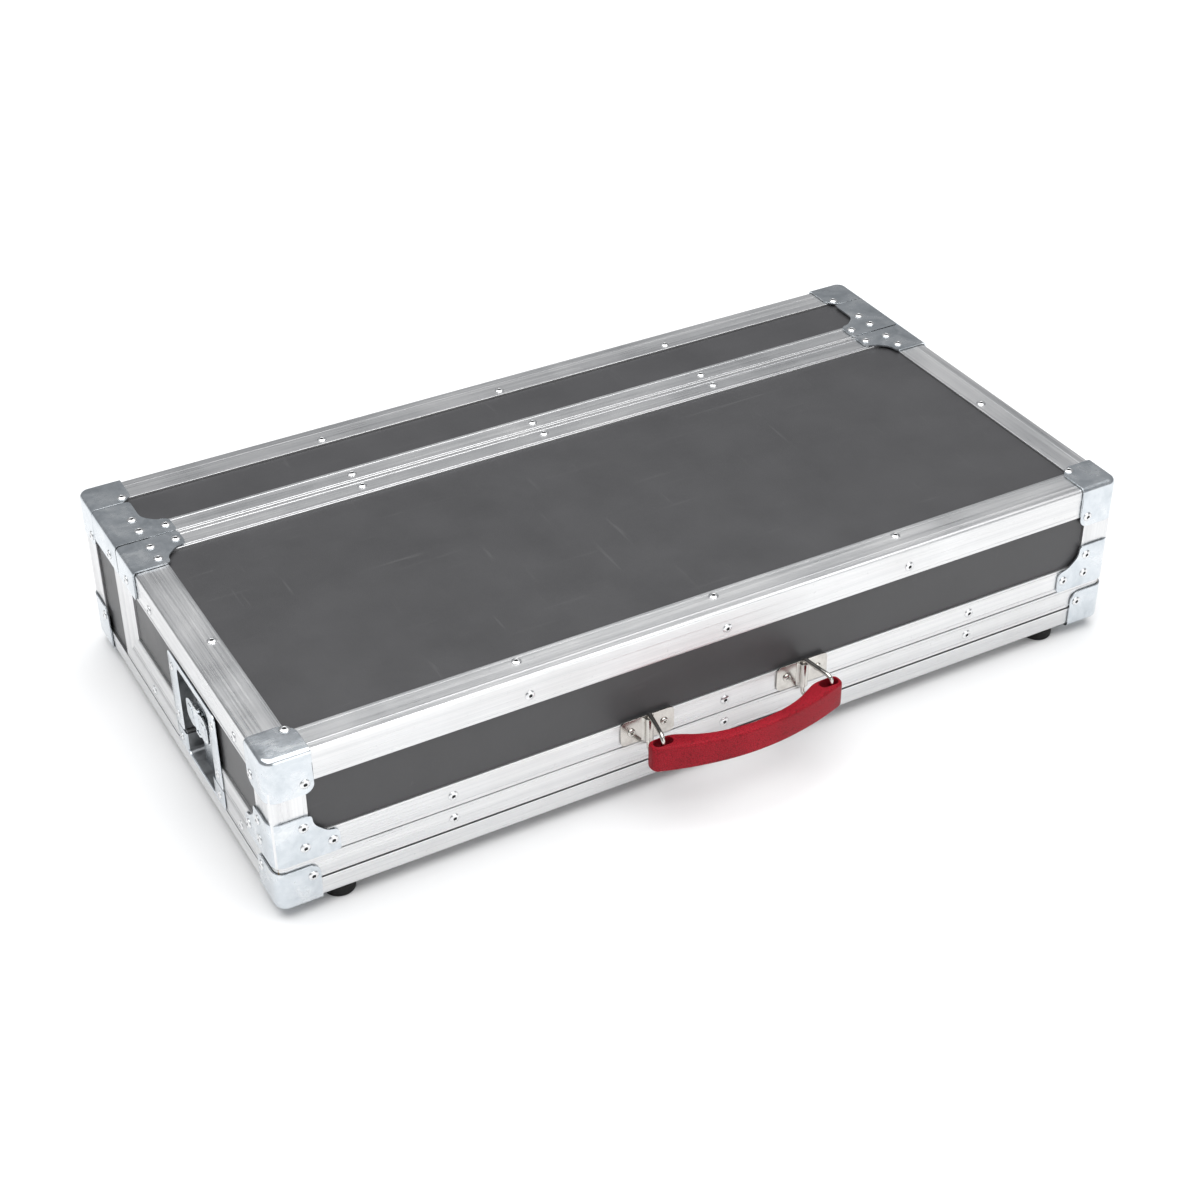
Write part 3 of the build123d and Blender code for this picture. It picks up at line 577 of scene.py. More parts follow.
edge = GAP + WALL
panel("base_bottom_panel", "z", Z0 + WALL, rectangle(WALL - XE, XE - WALL, YF + WALL, YB - WALL), "base")
panel("base_front_wall", "y", YF + WALL, rectangle(IN - XE, XE - IN, Z0 + IN, ZP - edge), "base")
panel("rear_back_panel", "y", YB - WALL, rectangle(IN - XE, XE - IN, Z0 + IN, ZT - IN), "base")
panel("rear_top_panel", "z", ZT - WALL, rectangle(WALL - XE, XE - WALL, YP + edge, YB - WALL), "base")
panel("lid_top_panel", "z", ZT - WALL, rectangle(WALL - XE, XE - WALL, YF + WALL, YP - edge), "lid")
panel("lid_front_panel", "y", YF + WALL, rectangle(IN - XE, XE - IN, ZP + edge, ZT - IN), "lid")
for side, word in SIDES:
    cut0, cut1 = LATCH_Y - 32, LATCH_Y + 32
    panel(f"base_{word}_end_panel", "x", side * (XE - WALL),
          [(YF + WALL, Z0 + IN), (YB - WALL, Z0 + IN), (YB - WALL, ZT - IN), (YP + edge, ZT - IN),
           (YP + edge, ZP - edge), (cut1, ZP - edge), (cut1, ZP - 20.4), (cut0, ZP - 20.4),
           (cut0, ZP - edge), (YF + WALL, ZP - edge)], "base")
    cut0, cut1, top = LATCH_Y - 37.6, LATCH_Y + 37.6, ZP + 67.6
    panel(f"lid_{word}_end_panel", "x", side * (XE - WALL),
          [(YF + WALL, ZP + edge), (cut0, ZP + edge), (cut0, top), (cut1, top), (cut1, ZP + edge),
           (YP - edge, ZP + edge), (YP - edge, ZT - IN), (YF + WALL, ZT - IN)], "lid")

# %% [markdown]
# The edge angle is one profile drawn through a die: a rounded heel, a bead near it on each leg
# and a thicker lip at the end of each leg. Drawing the profile once and sweeping it between two
# points gives every run; the ends hide under the pressed corners.

# %% Profile of the edge angle


def bead(position, height, width):
    """Raised half-round line on a flat leg, as (distance along, height) pairs."""
    return [(position - width / 2, 0), (position - width * 0.36, height * 0.7), (position, height),
            (position + width * 0.36, height * 0.7), (position + width / 2, 0)]


def angle_profile(leg_a, leg_b, heel=3.0):
    """Closed outline in (a, b): outer faces on the axes, metal towards positive values."""
    def leg(length):
        line = [(heel, 0.0)] + bead(9.5, RIB * 0.36, 2.4)
        line += [(length - 3.3, 0.0), (length - 3.1, RIB * 0.4), (length - 1.8, RIB * 0.42),
                 (length - 0.4, RIB * 0.4), (length - 0.05, RIB * 0.1), (length, -WALL * 0.5),
                 (length - 0.3, -WALL)]
        return line

    out_a = [(along_leg, -rise) for along_leg, rise in leg(leg_a)]
    out_b = [(-rise, along_leg) for along_leg, rise in leg(leg_b)]
    heel_arc = arc(heel, heel, heel, 180, 270, 7)[1:-1]
    return out_b[::-1] + heel_arc + out_a + [(WALL + 0.6, WALL), (WALL, WALL + 0.6)]


def sweep(shape, outline, stations, material=0):
    """Skins a closed outline through stations; each station turns (a, b) into a point in mm."""
    rings = [[shape.verts.new(station(a, b)) for a, b in outline] for station in stations]
    skin(shape, rings, material)
    for ring in (rings[0], rings[-1]):
        shape.faces.new(ring).material_index = material
    return shape


def angle_run(shape, corner, a_dir, b_dir, leg_a, leg_b, run_dir, start, end):
    """One straight length of edge angle."""
    corner, a_dir, b_dir, run_dir = map(Vector, (corner, a_dir, b_dir, run_dir))
    outline = angle_profile(leg_a, leg_b)
    stations = [lambda a, b, s=s: corner + a_dir * a + b_dir * b + run_dir * s for s in (start, end)]
    return sweep(shape, outline, stations)


print("angle profile points:", len(angle_profile(30, 28)))

# %% Edge angles
MITRE = 30.5
RUN = XE - MITRE
HIGH, LOW_REAR, LOW_LID = ZT - 28.5, Z0 + 28.5, ZP + 0.8


def angle_piece(name, body, run, *runs):
    shape = bmesh.new()
    for spec in runs:
        angle_run(shape, *spec)
    return level(deliver(name, shape, [ALU[run]], body, "aluminium_sections", 34))


angle_piece("bottom_front_angle", "base", "x", ((0, YF, Z0), Y, Z, 30, 18, X, -RUN, RUN))
angle_piece("bottom_back_angle", "base", "x", ((0, YB, Z0), FRONT, Z, 30, 28, X, -RUN, RUN))
angle_piece("rear_top_angle", "base", "x", ((0, YB, ZT), FRONT, DOWN, 30, 28, X, -RUN, RUN))
angle_piece("lid_front_angle", "lid", "x", ((0, YF, ZT), Y, DOWN, 30, 28, X, -RUN, RUN))
for name, body, run, y, z, b_dir, leg_b, run_dir, start, end in (
        ("bottom_end_angles", "base", "y", 0, Z0, Z, 18, Y, YF + 3, YB - 3),
        ("rear_end_angles", "base", "y", 0, ZT, DOWN, 28, Y, YP + GAP, YB - 3),
        ("lid_end_angles", "lid", "y", 0, ZT, DOWN, 28, Y, YF + 3, YP - GAP),
        ("rear_uprights", "base", "z", YB, 0, FRONT, 30, Z, LOW_REAR, HIGH),
        ("lid_uprights", "lid", "z", YF, 0, Y, 30, Z, LOW_LID, HIGH)):
    angle_piece(name, body, run, *[((s * XE, y, z), (-s, 0, 0), b_dir, 30, leg_b, run_dir, start, end)
                                   for s in (-1, 1)])

# %% [markdown]
# A closing section clips over the edge of a panel on each side of the parting. Its face has a
# bead near both edges. The tray's section also carries an upright lip behind the parting, which
# drops inside the lid and locates it. On the ends the section follows the L-shaped parting, so
# the same profile is swept through a mitred corner.

# %% Profiles of the closing sections


def face_strip(near, far):
    """Outer leg: (distance from the parting, height) with two beads; the face is at height 0."""
    step = 1 if far > near else -1
    width = abs(far - near)
    top = [(0, -0.5), (0.5, 0.0)] + bead(3.3, RIB * 0.7, 1.8) + bead(width - 3.0, RIB * 0.7, 1.8)
    top += [(width - 0.5, 0.0), (width, -0.5), (width, -WALL), (0, -WALL)]
    return [(near + step * d, h) for d, h in top]


def channel(near, depth, lip=None):
    """Web across the panel's edge, with its inner leg, as (distance, height) outlines."""
    step = 1 if near > 0 else -1
    web = [(near, -WALL), (near + step * WALL, -WALL), (near + step * WALL, -IN),
           (near + step * 13.6, -IN), (near + step * 13.6, -IN - WALL), (near, -IN - WALL)]
    if lip:
        web = web[:5] + [(near + step * WALL, -IN - WALL), (near + step * WALL, -depth),
                         (near, -depth)]
    return web


LIP = [(0.4, -11.3), (-7.5, -11.3), (-8.0, -11.8), (-8.0, -12.4), (-7.7, -12.7), (0.4, -12.7)]
BASE_SET = [face_strip(GAP, 21.6), channel(GAP, 12.7, True)]
LID_SET = [face_strip(-GAP, -CLOSE_W), channel(-GAP, 11.0)]
print("closing outlines:", [len(o) for o in BASE_SET + LID_SET])

# %% Closing sections


def front_station(x):
    return lambda d, h: (x, YF - h, ZP - d)


def top_station(x):
    return lambda d, h: (x, YP + d, ZT + h)


def end_stations(side, points):
    """Stations on an end face: 'y' points lie on the level parting, 'z' on the upright one."""
    made = []
    for kind, value in points:
        if kind == "y":
            made.append(lambda d, h, v=value: (side * (XE + h), v, ZP - d))
        elif kind == "corner":
            made.append(lambda d, h: (side * (XE + h), YP + d, ZP - d))
        else:
            made.append(lambda d, h, v=value: (side * (XE + h), YP + d, v))
    return made


def round_corner(side):
    """Stations round the upright corner of the tray, on the radius of its cap."""
    def at(turn):
        out, ahead_of = math.sin(turn), math.cos(turn)
        return lambda d, h: (side * (XE - 8 + (8 + h) * out), YF + 8 - (8 + h) * ahead_of, ZP - d)
    return [at(math.pi / 2 * i / 8) for i in range(9)]


def closing(name, body, run, jobs):
    """jobs are (outline, stations, index of the finish: along the run, or upright)."""
    shape = bmesh.new()
    for outline, stations, finish in jobs:
        sweep(shape, outline, stations, finish)
    return level(deliver(name, shape, [ALU[run], ALU["z"]], body, "aluminium_sections", 34))


def straight(station, *reaches):
    """Jobs for straight lengths, each (outline, half length), centred on the case."""
    return [(outline, [station(-half), station(half)], 0) for outline, half in reaches]


inner = XE - 13.2
closing("base_front_closing", "base", "x",
        straight(front_station, (BASE_SET[0], XE - 8), (BASE_SET[1], inner), (LIP, inner))
        + [(BASE_SET[0], round_corner(side), 0) for side in (-1, 1)])
closing("lid_front_closing", "lid", "x", straight(front_station, (LID_SET[0], RUN), (LID_SET[1], inner)))
closing("rear_top_closing", "base", "x",
        straight(top_station, (face_strip(GAP, CLOSE_W), RUN), (BASE_SET[1], inner), (LIP, inner)))
closing("lid_top_closing", "lid", "x", straight(top_station, (LID_SET[0], RUN), (LID_SET[1], inner)))
for side, word in SIDES:
    for place, body, half, profiles in (
            ("base", "base", 32, ((BASE_SET[0], YF + 8, HIGH), (BASE_SET[1], YF + 13.2, ZT - 13.2),
                                  (LIP, YF + 13.2, ZT - 13.2))),
            ("lid", "lid", 37.6, ((LID_SET[0], YF + MITRE, HIGH), (LID_SET[1], YF + 13.2, ZT - 11.4)))):
        jobs = []
        for outline, first, last in profiles:
            clear = 40 if outline is LIP else half
            jobs += [(outline, end_stations(side, [("y", first), ("y", LATCH_Y - clear)]), 0),
                     (outline, end_stations(side, [("y", LATCH_Y + clear), ("corner", 0)]), 0),
                     (outline, end_stations(side, [("corner", 0), ("z", last)]), 1)]
        closing(f"{place}_{word}_closing", body, "y", jobs)

# %% [markdown]
# The corners are pressed. A cap is drawn over a rounded block: its wall follows the upright
# edge on a wide radius, and its top is drawn in on a smaller one. A bracket is two L-shaped
# leaves with one fold, made by bevelling the edge they share. Both get the sheet's thickness.

# %% Folded sheet


def fold(shape, leaves, radius):
    """Joins flat leaves along the edges they share, rounds the folds and thickens the sheet."""
    sheet = bmesh.new()
    for points in leaves:
        sheet.faces.new([sheet.verts.new(p) for p in points])
    bmesh.ops.remove_doubles(sheet, verts=sheet.verts, dist=0.01)
    bmesh.ops.recalc_face_normals(sheet, faces=sheet.faces)
    folds = [e for e in sheet.edges if len(e.link_faces) == 2]
    bmesh.ops.bevel(sheet, geom=folds, offset=radius, segments=6, profile=0.5, affect="EDGES",
                    clamp_overlap=True)
    return thicken(shape, sheet)


def thicken(shape, sheet):
    """Gives a folded sheet its thickness, away from the outside, and adds it to a piece."""
    bmesh.ops.recalc_face_normals(sheet, faces=sheet.faces)
    centre = sum((v.co for v in sheet.verts), Vector()) / len(sheet.verts)
    outward = centre - Vector((0, CASE_Y, (Z0 + ZT) / 2))
    if sum(f.normal.dot(outward) * f.calc_area() for f in sheet.faces) < 0:
        bmesh.ops.reverse_faces(sheet, faces=sheet.faces)
    bmesh.ops.solidify(sheet, geom=sheet.faces[:], thickness=SHEET)
    patch = bpy.data.meshes.new("patch")
    sheet.to_mesh(patch)
    sheet.free()
    shape.from_mesh(patch)
    bpy.data.meshes.remove(patch)
    return shape


def cap(shape, corner, axes, reach, upright=10.0, flat=4.6, cut=9.0):
    """Ball-cornered cap: a wall drawn round the upright edge and a top drawn in over it."""
    axes, corner = [Vector(a) for a in axes], Vector(corner)
    ra, rb, rc = reach
    ease = [1 - math.cos(math.pi / 2 * i / 7) for i in range(8)]
    run_a, run_b = [[(reached - cut * e, rc - cut * (1 - math.sqrt(max(0.0, 1 - (1 - e) ** 2))))
                     for e in ease] for reached in (ra, rb)]
    plan = [((u, -PROUD), (0, 1), low) for u, low in run_a]
    for i in range(11):
        t = math.pi / 2 * i / 10
        centre = upright - PROUD
        plan.append(((centre - upright * math.sin(t), centre - upright * math.cos(t)),
                     (math.sin(t), math.cos(t)), rc))
    plan += [((-PROUD, v), (1, 0), low) for v, low in reversed(run_b)]
    sheet = bmesh.new()

    def point(a, b, c):
        return sheet.verts.new(corner + axes[0] * a + axes[1] * b + axes[2] * c)

    columns = []
    for (a, b), (na, nb), low in plan:
        column = [point(a, b, low), point(a, b, (low + flat) / 2 - PROUD)]
        for i in range(7):
            t = math.pi / 2 * i / 6
            draw = flat * (1 - math.cos(t))
            column.append(point(a + na * draw, b + nb * draw, flat - PROUD - flat * math.sin(t)))
        columns.append(column)
    for first, second in zip(columns, columns[1:]):
        for i in range(len(first) - 1):
            sheet.faces.new((first[i], second[i], second[i + 1], first[i + 1]))
    free = rounded([(-PROUD, rb), (ra - cut, rb), (ra, rb - cut), (ra, -PROUD)], [0, 4.5, 4.5, 0], 5)[1:-1]
    sheet.faces.new([c[-1] for c in columns] + [point(a, b, -PROUD) for a, b in free])
    return thicken(shape, sheet)


shape = bmesh.new()
for side in (-1, 1):
    cap(shape, (side * XE, YF, ZT), ((-side, 0, 0), Y, DOWN), (37, 36, 38))
pressed("lid_corner_caps", shape, "lid")

shape = bmesh.new()
for side in (-1, 1):
    cap(shape, (side * XE, YF, Z0), ((-side, 0, 0), Y, Z), (35, 37, 35))
    cap(shape, (side * XE, YB, Z0), ((-side, 0, 0), FRONT, Z), (38, 38, 41))
    cap(shape, (side * XE, YB, ZT), ((-side, 0, 0), FRONT, DOWN), (37, 38, 36))
pressed("base_corner_caps", shape, "base")

# %% Brackets beside the parting
TIP = 55.5


def elbow(long):
    """L-shaped leaf: a short leg along the parting and a long one along the edge."""
    return rounded([(0, 0), (TIP, 0), (TIP, 22), (46.5, 22), (34.5, 33.0), (34.5, long), (0, long)],
                   [0, 4, 7, 5, 6, 4, 0], 5)


def leaf(origin, u_dir, v_dir, outline):
    origin, u_dir, v_dir = Vector(origin), Vector(u_dir), Vector(v_dir)
    return [origin + u_dir * u + v_dir * v for u, v in outline]


def top_brackets(name, body, direction, long):
    shape = bmesh.new()
    y0 = YP + direction * 0.8
    tab = rounded([(0, 0), (28.5, 0), (28.5, long), (0, long)], [0, 4, 4, 0], 5)
    for side in (-1, 1):
        ridge = (side * (XE + PROUD), y0, ZT + PROUD)
        fold(shape, [leaf(ridge, (-side, 0, 0), (0, direction, 0), elbow(long)),
                     leaf(ridge, DOWN, (0, direction, 0), tab)], 4.5)
    pressed(name, shape, body)


top_brackets("lid_top_brackets", "lid", -1, 42.6)
top_brackets("rear_brackets", "base", 1, 62.4)

shape = bmesh.new()
for side in (-1, 1):
    ridge = (side * (XE + PROUD), YF - PROUD, ZP + 0.8)
    fold(shape, [leaf(ridge, (-side, 0, 0), Z, elbow(42.6)), leaf(ridge, Y, Z, elbow(42.6))], 10.0)
pressed("lid_corner_brackets", shape, "lid")

# %% [markdown]
# Blind rivets hold everything together: a low dome with a rolled rim and, in the middle, the
# pit where the mandrel snapped. One head is drawn, and a node tree sets a copy on each point,
# turned to the face it sits on and spun at random, then joins them into one mesh per body.

# %% Turned shapes


def lathe(shape, profile, place, axis, steps=28, material=0, closed=False):
    """Turns (radius, height) points round an axis; a zero radius closes the shape."""
    axis, place = Vector(axis).normalized(), Vector(place)
    u = axis.orthogonal().normalized()
    v = axis.cross(u)
    rings = []
    for radius, height in profile:
        rings.append(circle(shape, place + axis * height, u, v, radius, steps if radius else 1))
    return skin(shape, rings, material, closed)


head = bmesh.new()
lathe(head, [(0, -0.3), (4.0, -0.3), (4.3, 0.0), (4.32, 0.3), (4.1, 0.62), (3.5, 0.95), (2.7, 1.28),
             (2.2, 1.44), (1.85, 1.5), (1.65, 1.38), (1.55, 1.1)], (0, 0, 0), Z, 20, 0)
lathe(head, [(1.55, 1.1), (1.45, 0.45), (0.8, 0.5), (0.65, 0.8), (0, 0.85)], (0, 0, 0), Z, 20, 1)
bmesh.ops.remove_doubles(head, verts=head.verts, dist=0.001)
bmesh.ops.recalc_face_normals(head, faces=head.faces)
bmesh.ops.scale(head, vec=(MM, MM, MM), verts=head.verts)
pit_layer = head.faces.layers.bool.new("pit")
for face in head.faces:
    face[pit_layer] = face.material_index == 1
head_mesh = bpy.data.meshes.new("rivet_head")
head.to_mesh(head_mesh)
head.free()
head_object = bpy.data.objects.new("rivet_head", head_mesh)
print("rivet head faces:", len(head_mesh.polygons))

# %% Node tree that sets the rivets
group = bpy.data.node_groups.new("set_rivets", "GeometryNodeTree")
sockets = {}
for label, kind in (("Points", "NodeSocketGeometry"), ("Head", "NodeSocketObject"),
                    ("Size", "NodeSocketFloat"), ("Spin seed", "NodeSocketInt"),
                    ("Metal", "NodeSocketMaterial"), ("Pit", "NodeSocketMaterial")):
    sockets[label] = group.interface.new_socket(label, in_out="INPUT", socket_type=kind).identifier
group.interface.new_socket("Rivets", in_out="OUTPUT", socket_type="NodeSocketGeometry")


def node(kind, inputs=None, **settings):
    return add_node(group, kind, inputs, **settings)


given = node("NodeGroupInput").outputs
outward = node("GeometryNodeInputNamedAttribute", {"Name": "outward"}, data_type="FLOAT_VECTOR")
scale_of = node("GeometryNodeInputNamedAttribute", {"Name": "size"}, data_type="FLOAT")
upright_turn = node("FunctionNodeAlignRotationToVector", {"Vector": outward.outputs[0]}, axis="Z")
sized = node("ShaderNodeMath", {0: scale_of.outputs[0], 1: given["Size"]}, operation="MULTIPLY")
placed = node("GeometryNodeInstanceOnPoints", {
    "Points": given["Points"],
    "Instance": node("GeometryNodeObjectInfo", {"Object": given["Head"]}).outputs["Geometry"],
    "Rotation": upright_turn.outputs[0], "Scale": sized.outputs[0]})
spin = node("FunctionNodeRandomValue", {"Max": math.tau, "Seed": given["Spin seed"]}, data_type="FLOAT")
spin_about = node("ShaderNodeCombineXYZ", {"Z": spin.outputs["Value"]})
spun = node("GeometryNodeRotateInstances", {"Instances": placed.outputs[0],
                                            "Rotation": spin_about.outputs[0]})
real = node("GeometryNodeRealizeInstances", {"Geometry": spun.outputs[0]})
metal = node("GeometryNodeSetMaterial", {"Geometry": real.outputs[0], "Material": given["Metal"]})
in_pit = node("GeometryNodeInputNamedAttribute", {"Name": "pit"}, data_type="BOOLEAN")
pitted = node("GeometryNodeSetMaterial", {"Geometry": metal.outputs[0], "Selection": in_pit.outputs[0],
                                          "Material": given["Pit"]})
node("NodeGroupOutput", {0: pitted.outputs[0]})
print("rivet tree nodes:", len(group.nodes))

# %% Points for the rivets


def set_rivets(name, body, points, seed):
    """points are (x, y, z, outward, size) in millimetres."""
    cloud = bpy.data.meshes.new(name + "_points")
    cloud.from_pydata([Vector(p[:3]) * MM for p in points], [], [])
    cloud.attributes.new("outward", "FLOAT_VECTOR", "POINT").data.foreach_set(
        "vector", [c for p in points for c in p[3]])
    cloud.attributes.new("size", "FLOAT", "POINT").data.foreach_set("value", [p[4] for p in points])
    holder = bpy.data.objects.new(name + "_points", cloud)
    bpy.context.collection.objects.link(holder)
    tree = holder.modifiers.new("rivets", "NODES")
    tree.node_group = group
    for label, value in (("Head", head_object), ("Size", 1.0), ("Spin seed", seed),
                         ("Metal", BRIGHT), ("Pit", PIT)):
        tree[sockets[label]] = value
    bpy.context.view_layer.update()
    evaluated = holder.evaluated_get(bpy.context.evaluated_depsgraph_get())
    mesh = bpy.data.meshes.new_from_object(evaluated)
    mesh.name = name + "_detail"
    bpy.data.objects.remove(holder)
    bpy.data.meshes.remove(cloud)
    mesh.polygons.foreach_set("use_smooth", [True] * len(mesh.polygons))
    item = bpy.data.objects.new(name + "_detail", mesh)
    bpy.context.collection.objects.link(item)
    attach(item, body)
    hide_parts(name)
    print(f"{name}: {len(points)} rivets, {len(mesh.polygons)} faces")


BAND = 22.5
lid_points, base_points = [], []
for x in (-180, 0, 180):
    lid_points += [(x, YF + BAND, ZT, UP, 1), (x, YF, ZT - 18, FRONT, 1), (x, YP - 10.5, ZT, UP, 1)]
    base_points += [(x, YB - BAND, ZT, UP, 1), (x, YB, ZT - 18, BACK, 1), (x, YB, Z0 + 18, BACK, 1),
                    (x, YP + 12, ZT, UP, 1), (x, YF + BAND, Z0, DOWN, 1), (x, YB - BAND, Z0, DOWN, 1)]
for x in (-250, 0, 250):
    lid_points.append((x, YF, ZP + 12, FRONT, 1))
    base_points.append((x, YF, ZP - 11, FRONT, 1))
for s in (-1, 1):
    ex, out = s * XE, (s, 0, 0)
    px = s * (XE + PROUD)
    lid_points += [(s * (XE - BAND), CASE_Y - 50, ZT, UP, 1)]
    lid_points += [(ex, CASE_Y + y, ZT - 18, out, 1) for y in (-150, 40)]
    lid_points += [(s * 371, YF + 30, ZT + PROUD, UP, 1), (s * 370.5, YF - PROUD, ZT - 28, FRONT, 1),
                   (px, YF + 29, ZT - 28, out, 1), (px, YP - 22, ZT - 18, out, 1)]
    for x, d in ((375.5, 33.0), (375.5, 13.5), (352.5, 12.0)):
        lid_points += [(s * x, YP - GAP - d, ZT + PROUD, UP, 1),
                       (s * x, YF - PROUD, ZP + GAP + d, FRONT, 1),
                       (px, YF + XE - x, ZP + GAP + d, out, 1)]
        base_points.append((s * x, YP + GAP + d, ZT + PROUD, UP, 1))
    lid_points += [(s * (XE + 1.4), LATCH_Y + y, z, out, 0.84) for y in (-45, 45) for z in (ZP + 12, ZP + 60)]
    base_points += [(s * (XE + 1.4), LATCH_Y + y, ZP - 11, out, 0.84) for y in (-43, 43)]
    base_points += [(ex, CASE_Y + y, ZP - 11, out, 1) for y in (-140, 60)]
    base_points += [(px, YP + 22, ZT - 18, out, 1), (s * 371, YB - 30, ZT + PROUD, UP, 1),
                    (s * 370.5, YB + PROUD, ZT - 28, BACK, 1), (px, YB - 29, ZT - 28, out, 1),
                    (s * 371.5, YF - PROUD, Z0 + 25, FRONT, 1), (px, YF + 29, Z0 + 25, out, 1),
                    (s * 371, YB + PROUD, Z0 + 31, BACK, 1), (px, YB - 29, Z0 + 31, out, 1)]
bpy.context.collection.objects.link(head_object)
set_rivets("lid_rivets", "lid", lid_points, 3)
set_rivets("base_rivets", "base", base_points, 7)
bpy.data.objects.remove(head_object)

# %% [markdown]
# Screws have a pressed cross. The head is turned, its flat top is filled between the rim and
# the outline of the cross, and the cross is drawn down to a smaller floor.

# %% Cross-head screws


def cross_screw(shape, place, axis, radius, height, material=0, steps=24):
    axis, place = Vector(axis).normalized(), Vector(place)
    u = axis.orthogonal().normalized()
    v = axis.cross(u)
    flat = radius * 0.66
    lathe(shape, [(0, -0.4), (radius * 0.94, -0.4), (radius, 0.0), (radius, height * 0.35),
                  (radius * 0.92, height * 0.72), (radius * 0.80, height * 0.92), (flat, height)],
          place, axis, steps, material)

    def point(a, b, h):
        return shape.verts.new(place + u * a + v * b + axis * h)

    arm, half = radius * 0.50, radius * 0.13
    cross = [(arm, half), (half, half), (half, arm), (-half, arm), (-half, half), (-arm, half),
             (-arm, -half), (-half, -half), (-half, -arm), (half, -arm), (half, -half), (arm, -half)]
    rim = [point(flat * math.cos(math.tau * i / steps), flat * math.sin(math.tau * i / steps), height)
           for i in range(steps)]
    lip = [point(a, b, height) for a, b in cross]
    floor_ring = [point(a * 0.6, b * 0.6, height - radius * 0.5) for a, b in cross]
    edges = [shape.edges.new((ring[i], ring[(i + 1) % len(ring)])) for ring in (rim, lip)
             for i in range(len(ring))]
    for made in bmesh.ops.triangle_fill(shape, use_beauty=True, edges=edges)["geom"]:
        if isinstance(made, bmesh.types.BMFace):
            made.material_index = material
    for i in range(12):
        j = (i + 1) % 12
        shape.faces.new((lip[i], lip[j], floor_ring[j], floor_ring[i])).material_index = material
    shape.faces.new(floor_ring).material_index = material
    return shape


# %% Feet and their screws
shape = bmesh.new()
FEET = [(x, y) for x in (-345, 345) for y in (YF + 16, YB - 16)]
for x, y in FEET:
    lathe(shape, [(5.4, 0.0), (5.0, 0.4), (5.0, 5.0), (2.2, 5.0), (2.2, Z0 - 0.5), (13.6, Z0 - 0.5),
                  (14.0, Z0 - 0.9), (14.0, Z0 - 1.8), (13.7, Z0 - 2.8), (13.55, 7.2), (13.4, 4.6),
                  (13.25, 2.2), (12.9, 0.8), (12.1, 0.18), (11.2, 0.0), (9.6, 0.0), (9.2, 0.5),
                  (8.6, 0.5), (8.2, 0.0)],
          (x, y, 0), Z, 40, 0, closed=True)
deliver("rubber_feet", shape, [RUBBER], "base", "rubber")

shape = bmesh.new()
for x, y in FEET:
    cross_screw(shape, (x, y, 4.9), DOWN, 4.2, 2.6)
deliver("foot_screws", shape, [BRIGHT], "base", "screw_steel")

# %% [markdown]
# The carrying handle: two pressed plates, each with a rolled channel in which a wire ring
# turns, and a moulded grip whose hollow ends hold the outer bars of the rings.

# %% Handle plates and screws
PIVOT_X, PIVOT_Y = 75.0, YF - 4.0
PLATE_Y, PLATE_T = YF - RIB, 1.5
FRONT_Y = PLATE_Y - PLATE_T
shape = bmesh.new()
for s in (-1, 1):
    cx = s * PIVOT_X
    blank = rounded(rectangle(cx - 25, cx + 25, Z0 + 43, Z0 + 67), [5, 5, 5, 5], 6)
    prism(shape, blank, along("y", FRONT_Y), PLATE_T)
    flank = [(cx - 6.2, FRONT_Y + 0.2), (cx - 4.8, FRONT_Y - 0.5), (cx - 4.0, FRONT_Y - 1.8)]
    crown = arc(cx, PIVOT_Y, 3.9, 180, 360, 16)
    mirror_flank = [(2 * cx - a, b) for a, b in reversed(flank)]
    eye = arc(cx, PIVOT_Y, 2.05, 0, 345, 23)
    prism(shape, flank + crown + mirror_flank, along("z", Z0 + 43), 23.0, holes=[eye])
soften(deliver("handle_plates", shape, [NICKEL], "lid", "nickel_wire", 40), 0.4, 3)

shape = bmesh.new()
for s in (-1, 1):
    for dx in (-15.5, 15.5):
        cross_screw(shape, (s * PIVOT_X + dx, FRONT_Y, Z0 + 55), FRONT, 3.6, 1.6)
deliver("handle_screws", shape, [NICKEL], "lid", "screw_steel")

# %% Wire rings


def wire_loop(path, radius, sides):
    """Closed round wire through points in mm, with a frame carried from point to point."""
    shape, rings, carry = bmesh.new(), [], None
    for i, point in enumerate(path):
        tangent = (path[(i + 1) % len(path)] - path[i - 1]).normalized()
        if carry is None:
            carry = tangent.orthogonal()
        carry = (carry - tangent * carry.dot(tangent)).normalized()
        rings.append(circle(shape, point, carry, tangent.cross(carry), radius, sides))
    return skin(shape, rings, closed=True)


RING_L, LEAN = 33.0, math.radians(10.0)
RING_LOW, RING_HIGH = Z0 + 34.5, Z0 + 70.0
for s, word in SIDES:
    reach = Vector((s * math.sin(LEAN), -math.cos(LEAN), 0))
    pivot = Vector((s * PIVOT_X, PIVOT_Y, 0))
    plan = rounded([(0, RING_LOW), (RING_L, RING_LOW), (RING_L, RING_HIGH), (0, RING_HIGH)],
                   [3.4, 6.5, 6.5, 3.4], 9)
    points = [pivot + reach * u + Vector((0, 0, z)) for u, z in plan]
    shape = wire_loop(points, 2.0, 16)
    deliver(f"{word}_handle_ring", shape, [NICKEL], f"{word}_ring", "nickel_wire")

# %% [markdown]
# The grip is a bowed bar with rounded edges that thickens at the ends. Its inner and outer
# edges are smooth curves through a few widths; sections are set along it and the ends are
# drawn in to a round. The ring slots are then cut right through.

# %% Moulded grip


